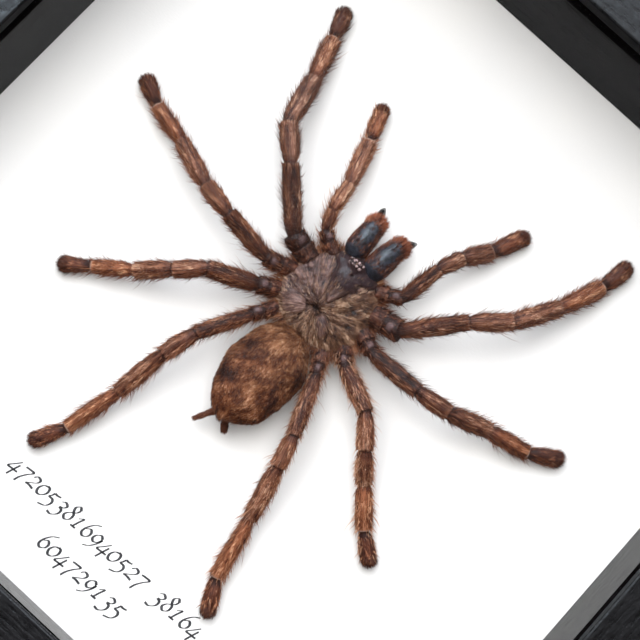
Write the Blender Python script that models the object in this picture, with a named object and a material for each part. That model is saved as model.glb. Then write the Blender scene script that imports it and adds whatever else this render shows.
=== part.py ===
"""A framed tarantula: a dried spider spread on a white board in a black shadow box with a glass front.

The box lies on its back with its front up (+Z). The spider's head points to +Y. The origin is at the
centre of the box's back, and every length below is in metres, written as a multiple of MM.
"""
import math

import bmesh
import bpy
from mathutils import Vector

MM = 0.001
GAP = 0.3 * MM

# Box, square in plan. The window is the opening that shows the board.
WINDOW = 203.2 * MM
FACE_WIDTH = 19.0 * MM
RAIL_WALL = 12.7 * MM
BACK_RECESS = 4.0 * MM
BACK_THICKNESS = 3.0 * MM
BOARD_THICKNESS = 5.0 * MM
SPACER_HEIGHT = 33.3 * MM
GLASS_SLOT = 5.1 * MM
GLASS_THICKNESS = 3.0 * MM
LIP_THICKNESS = 4.4 * MM
OUTER_EDGE_ROUND = 1.2 * MM
SIGHT_EDGE_ROUND = 0.6 * MM

# Levels above the back of the box.
BOARD_BOTTOM = BACK_RECESS + BACK_THICKNESS + GAP
BOARD_TOP = BOARD_BOTTOM + BOARD_THICKNESS
SPACER_BOTTOM = BOARD_TOP + GAP
SPACER_TOP = SPACER_BOTTOM + SPACER_HEIGHT
GLASS_BOTTOM = SPACER_TOP + GAP
LIP_BOTTOM = SPACER_TOP + GLASS_SLOT
FRONT = LIP_BOTTOM + LIP_THICKNESS

# Distances from the centre of the box.
SIGHT = WINDOW / 2
OUTER = SIGHT + FACE_WIDTH
RABBET = OUTER - RAIL_WALL
INSET = RABBET - GAP

# Metal fittings on the back.
TAB_WIDTH = 8.0 * MM
TAB_LENGTH = 14.0 * MM
TAB_DEPTH_IN_RAIL = 5.0 * MM
TAB_THICKNESS = 0.6 * MM
HANGER_LENGTH = 44.0 * MM
HANGER_WIDTH = 9.0 * MM
HANGER_THICKNESS = 0.8 * MM
HANGER_RISE = 1.4 * MM
HANGER_TEETH = 9
HANGER_FROM_EDGE = 16.0 * MM

# Spider. Places on it are millimetres from the board's centre and above the board's face.
LIMB_SIDES = 10
COXA, TROCHANTER, FEMUR, PATELLA, TIBIA, METATARSUS, TARSUS = range(7)

CARAPACE_CENTRE = (0.6, 8.3)
CARAPACE_HALF_WIDTH = 12.5
CARAPACE_HALF_LENGTH = 13.4
CARAPACE_TAPER = 0.22
CARAPACE_RIM_HEIGHT = 6.6
CARAPACE_DOME = 3.6
CARAPACE_BELLY = 4.2
HEAD_RISE = 2.0
HEAD_CENTRE = (0.3, 15.5)
HEAD_RADIUS = 6.5

ABDOMEN_CENTRE = (1.0, -20.2, 9.4)
ABDOMEN_HALF_SIZE = (10.2, 14.6, 8.0)

# Each limb runs from its base at the body to its tip: the ends of its segments, then the segments'
# widths. A palp has no metatarsus, so it has six segments where a leg has seven.
LIMBS = {
    "leg_1_left": (
        [(-10.5, 11.6, 6.0), (-14.2, 12.6, 7.0), (-17.7, 13.2, 8.6), (-30.8, 26.0, 13.0),
         (-38.6, 33.9, 12.0), (-42.6, 48.4, 7.0), (-46.9, 61.6, 3.4), (-50.0, 69.8, 2.6)],
        [5.6, 6.0, 5.0, 5.0, 5.2, 4.8, 4.2]),
    "leg_1_right": (
        [(12.0, 11.8, 6.0), (15.8, 12.8, 7.0), (20.0, 13.2, 8.6), (31.8, 26.6, 13.0),
         (40.1, 34.6, 12.0), (46.9, 47.2, 7.0), (51.9, 60.4, 3.4), (53.3, 69.7, 2.6)],
        [5.6, 6.0, 4.9, 4.6, 5.0, 4.8, 4.2]),
    "leg_2_left": (
        [(-11.0, 6.6, 6.0), (-14.8, 5.4, 7.0), (-18.9, 3.7, 8.4), (-33.5, 5.1, 12.0),
         (-43.1, 6.7, 11.0), (-56.6, 11.9, 6.0), (-68.6, 15.0, 3.4), (-76.2, 18.7, 2.6)],
        [4.2, 4.4, 4.6, 4.6, 4.5, 4.5, 4.2]),
    "leg_2_right": (
        [(12.6, 6.6, 6.0), (15.6, 5.4, 7.0), (18.3, 4.2, 8.0), (33.9, 4.1, 12.0),
         (43.5, 5.7, 11.0), (54.9, 10.3, 6.0), (66.3, 13.2, 3.4), (74.0, 18.3, 2.6)],
        [4.2, 4.2, 4.6, 4.6, 4.7, 4.6, 4.2]),
    "leg_3_left": (
        [(-10.6, 0.6, 5.6), (-13.2, -1.4, 6.8), (-15.6, -2.9, 7.8), (-27.7, -9.4, 12.0),
         (-34.1, -15.5, 11.0), (-41.8, -21.8, 6.0), (-51.3, -28.6, 3.4), (-57.8, -33.5, 2.6)],
        [4.2, 4.6, 5.0, 4.8, 4.8, 4.0, 4.0]),
    "leg_3_right": (
        [(12.3, 0.3, 5.6), (13.9, -1.6, 6.6), (15.3, -2.9, 7.6), (27.7, -9.0, 12.0),
         (34.1, -16.3, 11.0), (39.9, -22.4, 6.0), (48.1, -31.1, 3.4), (55.0, -36.3, 2.6)],
        [4.0, 4.0, 4.8, 4.6, 4.5, 4.6, 4.2]),
    "leg_4_left": (
        [(-8.0, -3.6, 5.4), (-9.9, -7.0, 6.4), (-11.4, -9.8, 7.6), (-18.4, -24.0, 12.0),
         (-20.7, -33.4, 11.0), (-23.0, -48.1, 6.0), (-26.6, -63.8, 3.4), (-30.9, -72.3, 2.6)],
        [3.7, 3.7, 4.1, 4.5, 4.4, 4.0, 4.0]),
    "leg_4_right": (
        [(8.6, -4.2, 5.4), (10.3, -7.4, 6.4), (11.6, -10.0, 7.6), (18.1, -26.4, 12.0),
         (20.6, -34.7, 11.0), (24.3, -49.0, 6.0), (28.1, -65.8, 3.4), (32.8, -74.2, 2.6)],
        [3.6, 3.5, 4.1, 4.4, 4.6, 4.4, 4.0]),
    "palp_left": (
        [(-6.4, 17.0, 6.4), (-9.6, 18.4, 6.8), (-12.3, 20.0, 7.6), (-14.7, 25.2, 9.0),
         (-16.1, 33.5, 8.0), (-20.5, 46.9, 4.0), (-24.2, 56.8, 2.6)],
        [3.7, 3.9, 3.4, 4.0, 4.6, 4.0]),
    "palp_right": (
        [(8.2, 17.0, 6.4), (11.4, 18.8, 6.8), (14.7, 20.4, 7.6), (16.5, 32.5, 9.0),
         (19.1, 39.3, 8.0), (23.7, 46.8, 4.0), (27.7, 56.9, 2.6)],
        [3.7, 3.7, 3.9, 4.3, 4.8, 4.4]),
}

CHELICERAE = {
    "chelicera_left": [(-3.2, 22.4, 7.6, 6.0), (-3.3, 25.6, 7.8, 6.2), (-3.5, 29.2, 7.0, 5.6),
                       (-3.6, 32.2, 5.8, 3.6)],
    "chelicera_right": [(4.1, 21.4, 7.6, 6.4), (4.3, 25.0, 7.8, 6.6), (4.6, 28.8, 7.0, 5.8),
                        (4.9, 31.8, 5.8, 3.6)],
}
FANGS = {
    "fang_left": [(-4.4, 32.9, 4.9, 1.5), (-4.9, 34.6, 4.1, 1.0), (-5.2, 36.0, 3.0, 0.3)],
    "fang_right": [(5.9, 32.4, 4.9, 1.5), (6.7, 33.4, 4.1, 1.0), (7.3, 34.4, 3.0, 0.3)],
}
SPINNERETS = {
    "spinneret_left": [(-1.7, -35.3, 6.2, 1.5), (-3.0, -37.6, 5.2, 1.3), (-4.2, -39.7, 4.0, 1.1)],
    "spinneret_right": [(2.6, -35.1, 5.6, 1.8), (3.3, -36.0, 4.9, 1.7), (3.9, -36.8, 4.2, 1.4)],
}


def clear_scene():
    for item in list(bpy.data.objects):
        bpy.data.objects.remove(item, do_unlink=True)


def make_material(name, colour, roughness, metallic=0.0):
    material = bpy.data.materials.new(name)
    material.use_nodes = True
    shader = material.node_tree.nodes["Principled BSDF"]
    shader.inputs["Base Color"].default_value = (*colour, 1.0)
    shader.inputs["Roughness"].default_value = roughness
    shader.inputs["Metallic"].default_value = metallic
    return material


def add_object(name, mesh_builder, material, smooth_angle=None):
    """Turns a bmesh into a named object with its faces pointing out."""
    bmesh.ops.recalc_face_normals(mesh_builder, faces=mesh_builder.faces)
    mesh = bpy.data.meshes.new(name)
    mesh_builder.to_mesh(mesh)
    mesh_builder.free()
    if smooth_angle is not None:
        mesh.shade_smooth()
        mesh.set_sharp_from_angle(angle=smooth_angle)
    item = bpy.data.objects.new(name, mesh)
    item.data.materials.append(material)
    bpy.context.scene.collection.objects.link(item)
    return item


def add_box(name, low, high, material):
    builder = bmesh.new()
    corners = [builder.verts.new((x, y, z))
               for z in (low[2], high[2])
               for x, y in ((low[0], low[1]), (high[0], low[1]), (high[0], high[1]), (low[0], high[1]))]
    builder.faces.new(corners[:4])
    builder.faces.new(corners[4:])
    for i in range(4):
        j = (i + 1) % 4
        builder.faces.new((corners[i], corners[j], corners[j + 4], corners[i + 4]))
    return add_object(name, builder, material)


def add_cutter(target, cutter):
    """Cuts a hidden solid out of another one."""
    cutter.hide_render = True
    cutter.display_type = "WIRE"
    cut = target.modifiers.new("cut", "BOOLEAN")
    cut.operation = "DIFFERENCE"
    cut.solver = "EXACT"
    cut.object = cutter


def turned(point, quarter_turns):
    """Turns a point about the box's centre by quarter turns."""
    x, y, z = point
    for _ in range(quarter_turns):
        x, y = -y, x
    return (x, y, z)


def rounded(profile, radii):
    """Rounds corners of a profile: radii maps a corner's index to its radius."""
    points = []
    for i, corner in enumerate(profile):
        if i not in radii:
            points.append(corner)
            continue
        here = Vector(corner)
        to_before = (Vector(profile[i - 1]) - here).normalized() * radii[i]
        to_after = (Vector(profile[(i + 1) % len(profile)]) - here).normalized() * radii[i]
        for step in range(4):
            turn = math.pi / 2 * step / 3
            point = here + to_before * (1 - math.sin(turn)) + to_after * (1 - math.cos(turn))
            points.append(tuple(point))
    return points


def add_bar(name, profile, quarter_turns, mitre_gap, material):
    """Extrudes a profile of (distance from the centre, height) between two 45 degree mitres.

    The bar lies on the -Y side and is then turned about the box's centre.
    """
    builder = bmesh.new()
    ends = []
    for side in (-1, 1):
        ring = [builder.verts.new(turned((side * (out - mitre_gap), -out, height), quarter_turns))
                for out, height in profile]
        builder.faces.new(ring)
        ends.append(ring)
    for i in range(len(profile)):
        j = (i + 1) % len(profile)
        builder.faces.new((ends[0][i], ends[0][j], ends[1][j], ends[1][i]))
    return add_object(name, builder, material)


SIDES = {"bottom": 0, "right": 1, "top": 2, "left": 3}


def box_between(name, quarter_turns, low, high, material):
    """A box given on the -Y side, turned with the rails."""
    first = turned(low, quarter_turns)
    second = turned(high, quarter_turns)
    lowest = [min(a, b) for a, b in zip(first, second)]
    highest = [max(a, b) for a, b in zip(first, second)]
    return add_box(name, lowest, highest, material)


def build_rails(wood):
    corners = [(RABBET, 0.0), (OUTER, 0.0), (OUTER, FRONT), (SIGHT, FRONT), (SIGHT, LIP_BOTTOM),
               (RABBET, LIP_BOTTOM)]
    profile = rounded(corners, {1: SIGHT_EDGE_ROUND, 2: OUTER_EDGE_ROUND, 3: SIGHT_EDGE_ROUND})
    mitre_gap = GAP / math.sqrt(2)
    tab_low = BACK_RECESS - GAP - TAB_THICKNESS
    for side, quarter_turns in SIDES.items():
        rail = add_bar("rail_" + side, profile, quarter_turns, mitre_gap, wood)
        slot = box_between(
            "slot_" + side, quarter_turns,
            (-TAB_WIDTH / 2 - GAP, -RABBET - TAB_DEPTH_IN_RAIL - GAP, tab_low - GAP),
            (TAB_WIDTH / 2 + GAP, -RABBET + GAP, tab_low + TAB_THICKNESS + GAP), wood)
        add_cutter(rail, slot)


def build_tabs(steel):
    low = BACK_RECESS - GAP - TAB_THICKNESS
    for side, quarter_turns in SIDES.items():
        start = -RABBET - TAB_DEPTH_IN_RAIL
        box_between("tab_" + side, quarter_turns, (-TAB_WIDTH / 2, start, low),
                    (TAB_WIDTH / 2, start + TAB_LENGTH, low + TAB_THICKNESS), steel)


def build_spacers(wood):
    """Strips under the glass, mitred like the rails and flush with the lip's edge."""
    profile = [(SIGHT, SPACER_BOTTOM), (INSET, SPACER_BOTTOM), (INSET, SPACER_TOP),
               (SIGHT, SPACER_TOP)]
    for side, quarter_turns in SIDES.items():
        add_bar("spacer_" + side, profile, quarter_turns, GAP / math.sqrt(2), wood)


def build_sheet(name, bottom, thickness, material):
    """A square sheet that fills the rails' rabbet."""
    return add_box(name, (-INSET, -INSET, bottom), (INSET, INSET, bottom + thickness), material)


def build_hanger(steel):
    """A sawtooth hanger: flat ends against the back panel and a raised, toothed bar between them."""
    steps = HANGER_TEETH * 2
    flat = HANGER_LENGTH * 0.14
    ramp = HANGER_LENGTH * 0.06
    top = RABBET - HANGER_FROM_EDGE
    bottom = top - HANGER_WIDTH
    tooth = HANGER_WIDTH * 0.28
    inner = HANGER_LENGTH / 2 - flat - ramp
    stations = [(-HANGER_LENGTH / 2, 0.0, 0.0), (-HANGER_LENGTH / 2 + flat, 0.0, 0.0)]
    for i in range(steps + 1):
        stations.append((-inner + 2 * inner * i / steps, HANGER_RISE, tooth * (i % 2)))
    stations += [(HANGER_LENGTH / 2 - flat, 0.0, 0.0), (HANGER_LENGTH / 2, 0.0, 0.0)]
    high = BACK_RECESS - GAP
    builder = bmesh.new()
    rings = []
    for x, rise, notch in stations:
        level = high - rise
        rings.append([builder.verts.new(point) for point in (
            (x, top, level), (x, bottom + notch, level),
            (x, bottom + notch, level - HANGER_THICKNESS), (x, top, level - HANGER_THICKNESS))])
    builder.faces.new(rings[0])
    builder.faces.new(rings[-1])
    for ring, following in zip(rings, rings[1:]):
        for i in range(4):
            j = (i + 1) % 4
            builder.faces.new((ring[i], ring[j], following[j], following[i]))
    return add_object("sawtooth_hanger", builder, steel)


def on_board(x, y, z):
    """A place given in millimetres from the board's centre and face."""
    return Vector((x * MM, y * MM, z * MM + BOARD_TOP))


def loft(name, stations, sides, material):
    """A closed round body through stations of (centre, width, height), with flat ends."""
    builder = bmesh.new()
    rings = []
    centres = [centre for centre, _, _ in stations]
    for i, (centre, width, height) in enumerate(stations):
        before = centres[max(i - 1, 0)]
        after = centres[min(i + 1, len(centres) - 1)]
        along = (after - before).normalized()
        across = along.cross(Vector((0, 0, 1))).normalized()
        upward = across.cross(along)
        ring = []
        for k in range(sides):
            angle = 2 * math.pi * k / sides
            offset = across * (math.cos(angle) * width / 2) + upward * (math.sin(angle) * height / 2)
            ring.append(builder.verts.new(centre + offset))
        rings.append(ring)
    for ring, following in zip(rings, rings[1:]):
        for k in range(sides):
            j = (k + 1) % sides
            builder.faces.new((ring[k], ring[j], following[j], following[k]))
    for ring in (rings[0], rings[-1]):
        builder.faces.new(ring)
    return add_object(name, builder, material, math.radians(50))


def limb_stations(joints, widths):
    """Stations along a limb: each segment swells between its two narrower ends."""
    stations = []
    swell = ((0.14, 0.88), (0.5, 1.0), (0.86, 0.92))
    last = len(widths) - 1
    for index, width in enumerate(widths):
        start = on_board(*joints[index])
        end = on_board(*joints[index + 1])
        if index == 0:
            stations.append((start, width * MM * 0.9, width * MM * 0.9))
        steps = swell if (end - start).length > 3.0 * MM + width * MM * 0.4 else ((0.5, 1.0),)
        for place, share in steps:
            size = width * MM * share
            stations.append((start.lerp(end, place), size, size))
        if index == last:
            stations.append((end, width * MM * 0.55, width * MM * 0.55))
    return stations


def carapace_outline(angle, grow):
    """A point of the carapace's rim: broad behind the middle and narrower at the head."""
    sine = math.sin(angle)
    cosine = math.copysign(abs(math.cos(angle)) ** 0.92, math.cos(angle))
    x = (CARAPACE_HALF_WIDTH + grow) * cosine * (1 - CARAPACE_TAPER * sine)
    y = (CARAPACE_HALF_LENGTH + grow) * sine
    return x, y


def build_carapace(name, chitin, grow=0.0):
    """The front body: a low dome over the rim, with a raised head, and a rounded underside."""
    segments = 28
    builder = bmesh.new()
    shares = [(0.34, -1), (0.66, -1), (0.88, -1), (1.0, 0), (0.9, 1), (0.72, 1), (0.48, 1), (0.22, 1)]
    rings = []
    for share, side in shares:
        ring = []
        bulge = math.sqrt(max(0.0, 1 - share * share))
        for k in range(segments):
            angle = 2 * math.pi * k / segments
            x, y = carapace_outline(angle, grow)
            x = CARAPACE_CENTRE[0] + x * share
            y = CARAPACE_CENTRE[1] + y * share
            z = CARAPACE_RIM_HEIGHT
            if side > 0:
                reach = math.hypot(x - HEAD_CENTRE[0], y - HEAD_CENTRE[1]) / HEAD_RADIUS
                z += (CARAPACE_DOME + grow) * bulge + HEAD_RISE * math.exp(-reach * reach)
            elif side < 0:
                z -= (CARAPACE_BELLY + grow) * bulge
            ring.append(builder.verts.new(on_board(x, y, z)))
        rings.append(ring)
    for ring, following in zip(rings, rings[1:]):
        for k in range(segments):
            j = (k + 1) % segments
            builder.faces.new((ring[k], ring[j], following[j], following[k]))
    for ring in (rings[0], rings[-1]):
        middle = sum((vert.co for vert in ring), Vector()) / segments
        centre = builder.verts.new(middle)
        for k in range(segments):
            builder.faces.new((ring[k], ring[(k + 1) % segments], centre))
    return add_object(name, builder, chitin, math.radians(60))


def build_abdomen(hide):
    """A plump oval bag, a little blunter at the waist than at the spinnerets."""
    builder = bmesh.new()
    bmesh.ops.create_uvsphere(builder, u_segments=24, v_segments=16, radius=1.0)
    for vert in builder.verts:
        x, y, z = vert.co
        y = -vert.co.z
        z = vert.co.y
        blunt = 1 + 0.06 * y
        point = (ABDOMEN_CENTRE[0] + ABDOMEN_HALF_SIZE[0] * x * blunt,
                 ABDOMEN_CENTRE[1] + ABDOMEN_HALF_SIZE[1] * y,
                 ABDOMEN_CENTRE[2] + ABDOMEN_HALF_SIZE[2] * z * blunt)
        vert.co = on_board(*point)
    return add_object("abdomen", builder, hide, math.radians(60))


def build_round(name, rows, sides, material):
    """A tapering body from rows of x, y, z and width."""
    stations = [(on_board(x, y, z), width * MM, width * MM) for x, y, z, width in rows]
    return loft(name, stations, sides, material)


def build_spider():
    hair = make_material("brown_hair", (0.13, 0.065, 0.04), 0.9)
    chitin = make_material("carapace_chitin", (0.09, 0.065, 0.06), 0.7)
    hide = make_material("abdomen_velvet", (0.2, 0.09, 0.045), 0.95)
    jaw = make_material("jaw_chitin", (0.035, 0.04, 0.05), 0.4)
    fang = make_material("fang_chitin", (0.01, 0.009, 0.009), 0.25)

    build_carapace("carapace", chitin)
    clearance = build_carapace("carapace_clearance", chitin, grow=GAP / MM)
    for name, (joints, widths) in LIMBS.items():
        limb = loft(name, limb_stations(joints, widths), LIMB_SIDES, hair)
        add_cutter(limb, clearance)
    build_abdomen(hide)
    for name, rows in CHELICERAE.items():
        add_cutter(build_round(name, rows, 14, jaw), clearance)
    for name, rows in FANGS.items():
        build_round(name, rows, 8, fang)
    for name, rows in SPINNERETS.items():
        build_round(name, rows, 8, hair)


def build_box():
    wood = make_material("black_painted_wood", (0.012, 0.011, 0.012), 0.45)
    glass = make_material("clear_glass", (0.9, 0.95, 0.93), 0.03)
    board = make_material("white_board", (0.9, 0.9, 0.9), 0.9)
    hardboard = make_material("brown_hardboard", (0.2, 0.12, 0.06), 0.8)
    steel = make_material("plated_steel", (0.6, 0.6, 0.58), 0.35, metallic=1.0)

    build_rails(wood)
    build_spacers(wood)
    build_sheet("glass_pane", GLASS_BOTTOM, GLASS_THICKNESS, glass)
    build_sheet("mount_board", BOARD_BOTTOM, BOARD_THICKNESS, board)
    build_sheet("back_panel", BACK_RECESS, BACK_THICKNESS, hardboard)
    build_tabs(steel)
    build_hanger(steel)


def main():
    clear_scene()
    build_box()
    build_spider()


main()
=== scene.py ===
"""The looks of the framed tarantula: its finishes, the spider's fine shape and its hair.

Places on the spider are millimetres from the centre of the board's face, with +X to the right, +Y
towards the head and +Z out of the box. place() turns them into the frame's metres.
"""
import itertools

import bpy
import numpy as np
from mathutils import Matrix, Vector


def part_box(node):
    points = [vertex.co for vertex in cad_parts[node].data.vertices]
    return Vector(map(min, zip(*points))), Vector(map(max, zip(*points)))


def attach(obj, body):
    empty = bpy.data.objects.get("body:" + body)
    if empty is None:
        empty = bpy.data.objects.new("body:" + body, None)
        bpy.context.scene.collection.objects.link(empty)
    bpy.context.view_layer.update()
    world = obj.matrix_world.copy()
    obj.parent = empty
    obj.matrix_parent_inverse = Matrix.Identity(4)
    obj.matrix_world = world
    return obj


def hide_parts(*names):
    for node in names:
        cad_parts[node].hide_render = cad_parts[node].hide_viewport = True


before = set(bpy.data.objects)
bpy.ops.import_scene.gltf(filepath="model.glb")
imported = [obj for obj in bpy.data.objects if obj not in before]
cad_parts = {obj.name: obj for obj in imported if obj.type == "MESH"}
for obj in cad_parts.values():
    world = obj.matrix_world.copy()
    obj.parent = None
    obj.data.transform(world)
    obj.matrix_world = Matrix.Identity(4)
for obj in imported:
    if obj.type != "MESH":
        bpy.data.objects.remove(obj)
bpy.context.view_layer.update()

MM = 0.001
BOARD_LOW, BOARD_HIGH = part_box("mount_board")
ORIGIN = np.array([(BOARD_LOW.x + BOARD_HIGH.x) / 2, (BOARD_LOW.y + BOARD_HIGH.y) / 2, BOARD_HIGH.z])

# Camera, in millimetres like the spider.
CAMERA_PLACE = (26.8, -72.5, 455.7)
CAMERA_AIM = (2.2, 2.6, 0.0)
TOP_OF_VIEW = (-0.683, 0.747, 0.0)
CAMERA_LENS = 97.9

# Limbs: the ends of the segments from the body to the tip, then the segments' widths.
LIMBS = {
    "leg_1_left": (
        [(-10.5, 11.6, 6.0), (-14.2, 12.6, 7.0), (-17.7, 13.2, 8.6), (-30.8, 26.0, 13.0),
         (-38.6, 33.9, 12.0), (-42.6, 48.4, 7.0), (-46.9, 61.6, 3.4), (-50.0, 69.8, 2.6)],
        [5.6, 6.0, 5.0, 5.0, 5.2, 4.8, 4.2]),
    "leg_1_right": (
        [(12.0, 11.8, 6.0), (15.8, 12.8, 7.0), (20.0, 13.2, 8.6), (31.8, 26.6, 13.0),
         (40.1, 34.6, 12.0), (46.9, 47.2, 7.0), (51.9, 60.4, 3.4), (53.3, 69.7, 2.6)],
        [5.6, 6.0, 4.9, 4.6, 5.0, 4.8, 4.2]),
    "leg_2_left": (
        [(-11.0, 6.6, 6.0), (-14.8, 5.4, 7.0), (-18.9, 3.7, 8.4), (-33.5, 5.1, 12.0),
         (-43.1, 6.7, 11.0), (-56.6, 11.9, 6.0), (-68.6, 15.0, 3.4), (-76.2, 18.7, 2.6)],
        [4.2, 4.4, 4.6, 4.6, 4.5, 4.5, 4.2]),
    "leg_2_right": (
        [(12.6, 6.6, 6.0), (15.6, 5.4, 7.0), (18.3, 4.2, 8.0), (33.9, 4.1, 12.0),
         (43.5, 5.7, 11.0), (54.9, 10.3, 6.0), (66.3, 13.2, 3.4), (74.0, 18.3, 2.6)],
        [4.2, 4.2, 4.6, 4.6, 4.7, 4.6, 4.2]),
    "leg_3_left": (
        [(-10.6, 0.6, 5.6), (-13.2, -1.4, 6.8), (-15.6, -2.9, 7.8), (-27.7, -9.4, 12.0),
         (-34.1, -15.5, 11.0), (-41.8, -21.8, 6.0), (-51.3, -28.6, 3.4), (-57.8, -33.5, 2.6)],
        [4.2, 4.6, 5.0, 4.8, 4.8, 4.0, 4.0]),
    "leg_3_right": (
        [(12.3, 0.3, 5.6), (13.9, -1.6, 6.6), (15.3, -2.9, 7.6), (27.7, -9.0, 12.0),
         (34.1, -16.3, 11.0), (39.9, -22.4, 6.0), (48.1, -31.1, 3.4), (55.0, -36.3, 2.6)],
        [4.0, 4.0, 4.8, 4.6, 4.5, 4.6, 4.2]),
    "leg_4_left": (
        [(-8.0, -3.6, 5.4), (-9.9, -7.0, 6.4), (-11.4, -9.8, 7.6), (-18.4, -24.0, 12.0),
         (-20.7, -33.4, 11.0), (-23.0, -48.1, 6.0), (-26.6, -63.8, 3.4), (-30.9, -72.3, 2.6)],
        [3.7, 3.7, 4.1, 4.5, 4.4, 4.0, 4.0]),
    "leg_4_right": (
        [(8.6, -4.2, 5.4), (10.3, -7.4, 6.4), (11.6, -10.0, 7.6), (18.1, -26.4, 12.0),
         (20.6, -34.7, 11.0), (24.3, -49.0, 6.0), (28.1, -65.8, 3.4), (32.8, -74.2, 2.6)],
        [3.6, 3.5, 4.1, 4.4, 4.6, 4.4, 4.0]),
    "palp_left": (
        [(-6.4, 17.0, 6.4), (-9.6, 18.4, 6.8), (-12.3, 20.0, 7.6), (-14.7, 25.2, 9.0),
         (-16.1, 33.5, 8.0), (-20.5, 46.9, 4.0), (-24.2, 56.8, 2.6)],
        [3.7, 3.9, 3.4, 4.0, 4.6, 4.0]),
    "palp_right": (
        [(8.2, 17.0, 6.4), (11.4, 18.8, 6.8), (14.7, 20.4, 7.6), (16.5, 32.5, 9.0),
         (19.1, 39.3, 8.0), (23.7, 46.8, 4.0), (27.7, 56.9, 2.6)],
        [3.7, 3.7, 3.9, 4.3, 4.8, 4.4]),
}
CHELICERAE = {
    "chelicera_left": [(-3.2, 19.4, 7.6, 6.0), (-3.2, 22.4, 8.0, 6.5), (-3.3, 25.6, 8.0, 6.4),
                       (-3.5, 28.8, 7.2, 5.6), (-3.8, 30.9, 6.2, 4.4), (-4.0, 32.0, 5.6, 3.4)],
    "chelicera_right": [(4.0, 18.4, 7.6, 6.2), (4.1, 21.4, 8.0, 6.8), (4.3, 25.0, 8.0, 6.9),
                        (4.6, 28.4, 7.2, 5.8), (5.1, 30.4, 6.2, 4.6), (5.4, 31.4, 5.6, 3.6)],
}
FANGS = {
    "fang_left": [(-4.1, 30.6, 6.6, 2.4), (-4.4, 32.4, 6.3, 2.2), (-4.9, 34.4, 5.2, 1.5),
                  (-5.2, 36.2, 3.4, 0.3)],
    "fang_right": [(5.4, 30.0, 6.6, 2.4), (6.0, 31.6, 6.3, 2.2), (6.8, 33.2, 5.2, 1.5),
                   (7.6, 34.8, 3.4, 0.3)],
}
SPINNERETS = {
    "spinneret_left": [(-1.0, -33.6, 6.8, 2.0), (-1.7, -35.3, 6.2, 1.7), (-2.4, -36.4, 5.8, 1.25),
                       (-3.0, -37.6, 5.2, 1.5), (-3.6, -38.6, 4.6, 1.1), (-4.2, -39.7, 4.0, 1.3)],
    "spinneret_right": [(1.9, -33.6, 6.6, 1.9), (2.6, -35.1, 5.6, 1.9), (3.3, -36.0, 4.9, 1.8),
                        (3.9, -36.8, 4.2, 1.4)],
}

CARAPACE_CENTRE = (0.6, 8.3)
CARAPACE_HALF_SIZE = (12.5, 13.4)
CARAPACE_RIM = 6.6
CARAPACE_RIM_V = 0.3
FOVEA = (-0.4, 2.8)
EYE_HILL = (-0.2, 18.1)
HEAD_HOLE = (1.1, 15.0)
ABDOMEN_CENTRE = (1.0, -20.2, 9.4)
ABDOMEN_HALF_SIZE = (10.2, 14.6, 8.0)

# The directions of the carapace's grooves from the pit, clockwise from the head.
SPOKES = (-2.75, -2.1, -1.45, -0.85, 0.95, 1.5, 2.1, 2.7)

# The two smooth bare swellings beside and behind the pit: centre, half sizes and turn.
LOBES = [(-5.2, -0.2, 3.3, 2.7, 0.5), (4.0, 0.2, 2.0, 3.4, 0.75)]

# The dark muscle scars of the thorax: centre and half sizes.
SCARS = [(6.0, 8.6, 1.2, 0.8), (7.8, 8.4, 0.8, 1.0), (9.4, 4.6, 0.8, 0.5), (2.4, 5.6, 0.7, 0.4),
         (-3.2, 8.6, 0.4, 0.9), (-8.6, 9.4, 0.7, 0.6), (8.6, 0.4, 0.9, 0.6), (11.2, 8.8, 0.6, 0.9)]

# The eyes: place from the middle of their hill, and radius. The first four are the front row.
EYES = [(-0.66, 0.50, 0.66), (0.66, 0.50, 0.66), (-1.80, 0.72, 0.58), (1.80, 0.70, 0.58),
        (-1.50, -0.62, 0.56), (1.52, -0.58, 0.56), (-0.54, -0.66, 0.46), (0.54, -0.64, 0.46)]

# How each limb differs: how much lighter and rustier its coat is, how strong its bare stripes
# are, and how much paler its standing hairs are.
LIMB_LOOKS = {
    "leg_1_left": (0.06, -0.25, 1.0, 0.0),
    "leg_1_right": (0.03, 0.0, 0.6, 0.0),
    "leg_2_left": (-0.04, 0.1, 0.7, 0.1),
    "leg_2_right": (-0.07, 0.0, 1.0, 0.0),
    "leg_3_left": (0.06, 0.12, 1.0, 0.0),
    "leg_3_right": (-0.01, 0.1, 0.2, 0.38),
    "leg_4_left": (-0.01, 0.1, 1.0, 0.15),
    "leg_4_right": (0.0, 0.1, 0.25, 0.25),
    "palp_left": (0.12, 0.1, 1.0, 0.25),
    "palp_right": (0.0, 0.0, 1.0, 0.0),
}

# How light the coat is on the six segments before a leg's foot, and last on any limb's foot.
SEGMENT_TONES = np.array([0.27, 0.22, 0.35, 0.49, 0.47, 0.49, 0.31])

# Limb skins: points round a ring and millimetres between rings. Hair: how deep its roots are,
# how much it bends back, and its least height over the board.
LIMB_SIDES = 26
RING_STEP = 0.34
ROOT_DEPTH = 0.05
BEND_BACK = 0.3
LEAST_HEIGHT = 0.12

# Numbers of hairs, on the limbs for each millimetre of length.
COAT_PER_MM = 125
BRISTLES_PER_MM = 40
TUFT_HAIRS = 700
CARAPACE_HAIRS = 40000
SKIRT_HAIRS = 11000
ABDOMEN_HAIRS = 40000
JAW_HAIRS = 7500
SPINNERET_HAIRS = 1500


def place(points):
    """Millimetres from the board's face to the frame's metres."""
    return np.asarray(points, float) * MM + ORIGIN


# Materials ---------------------------------------------------------------------------------------

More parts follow.
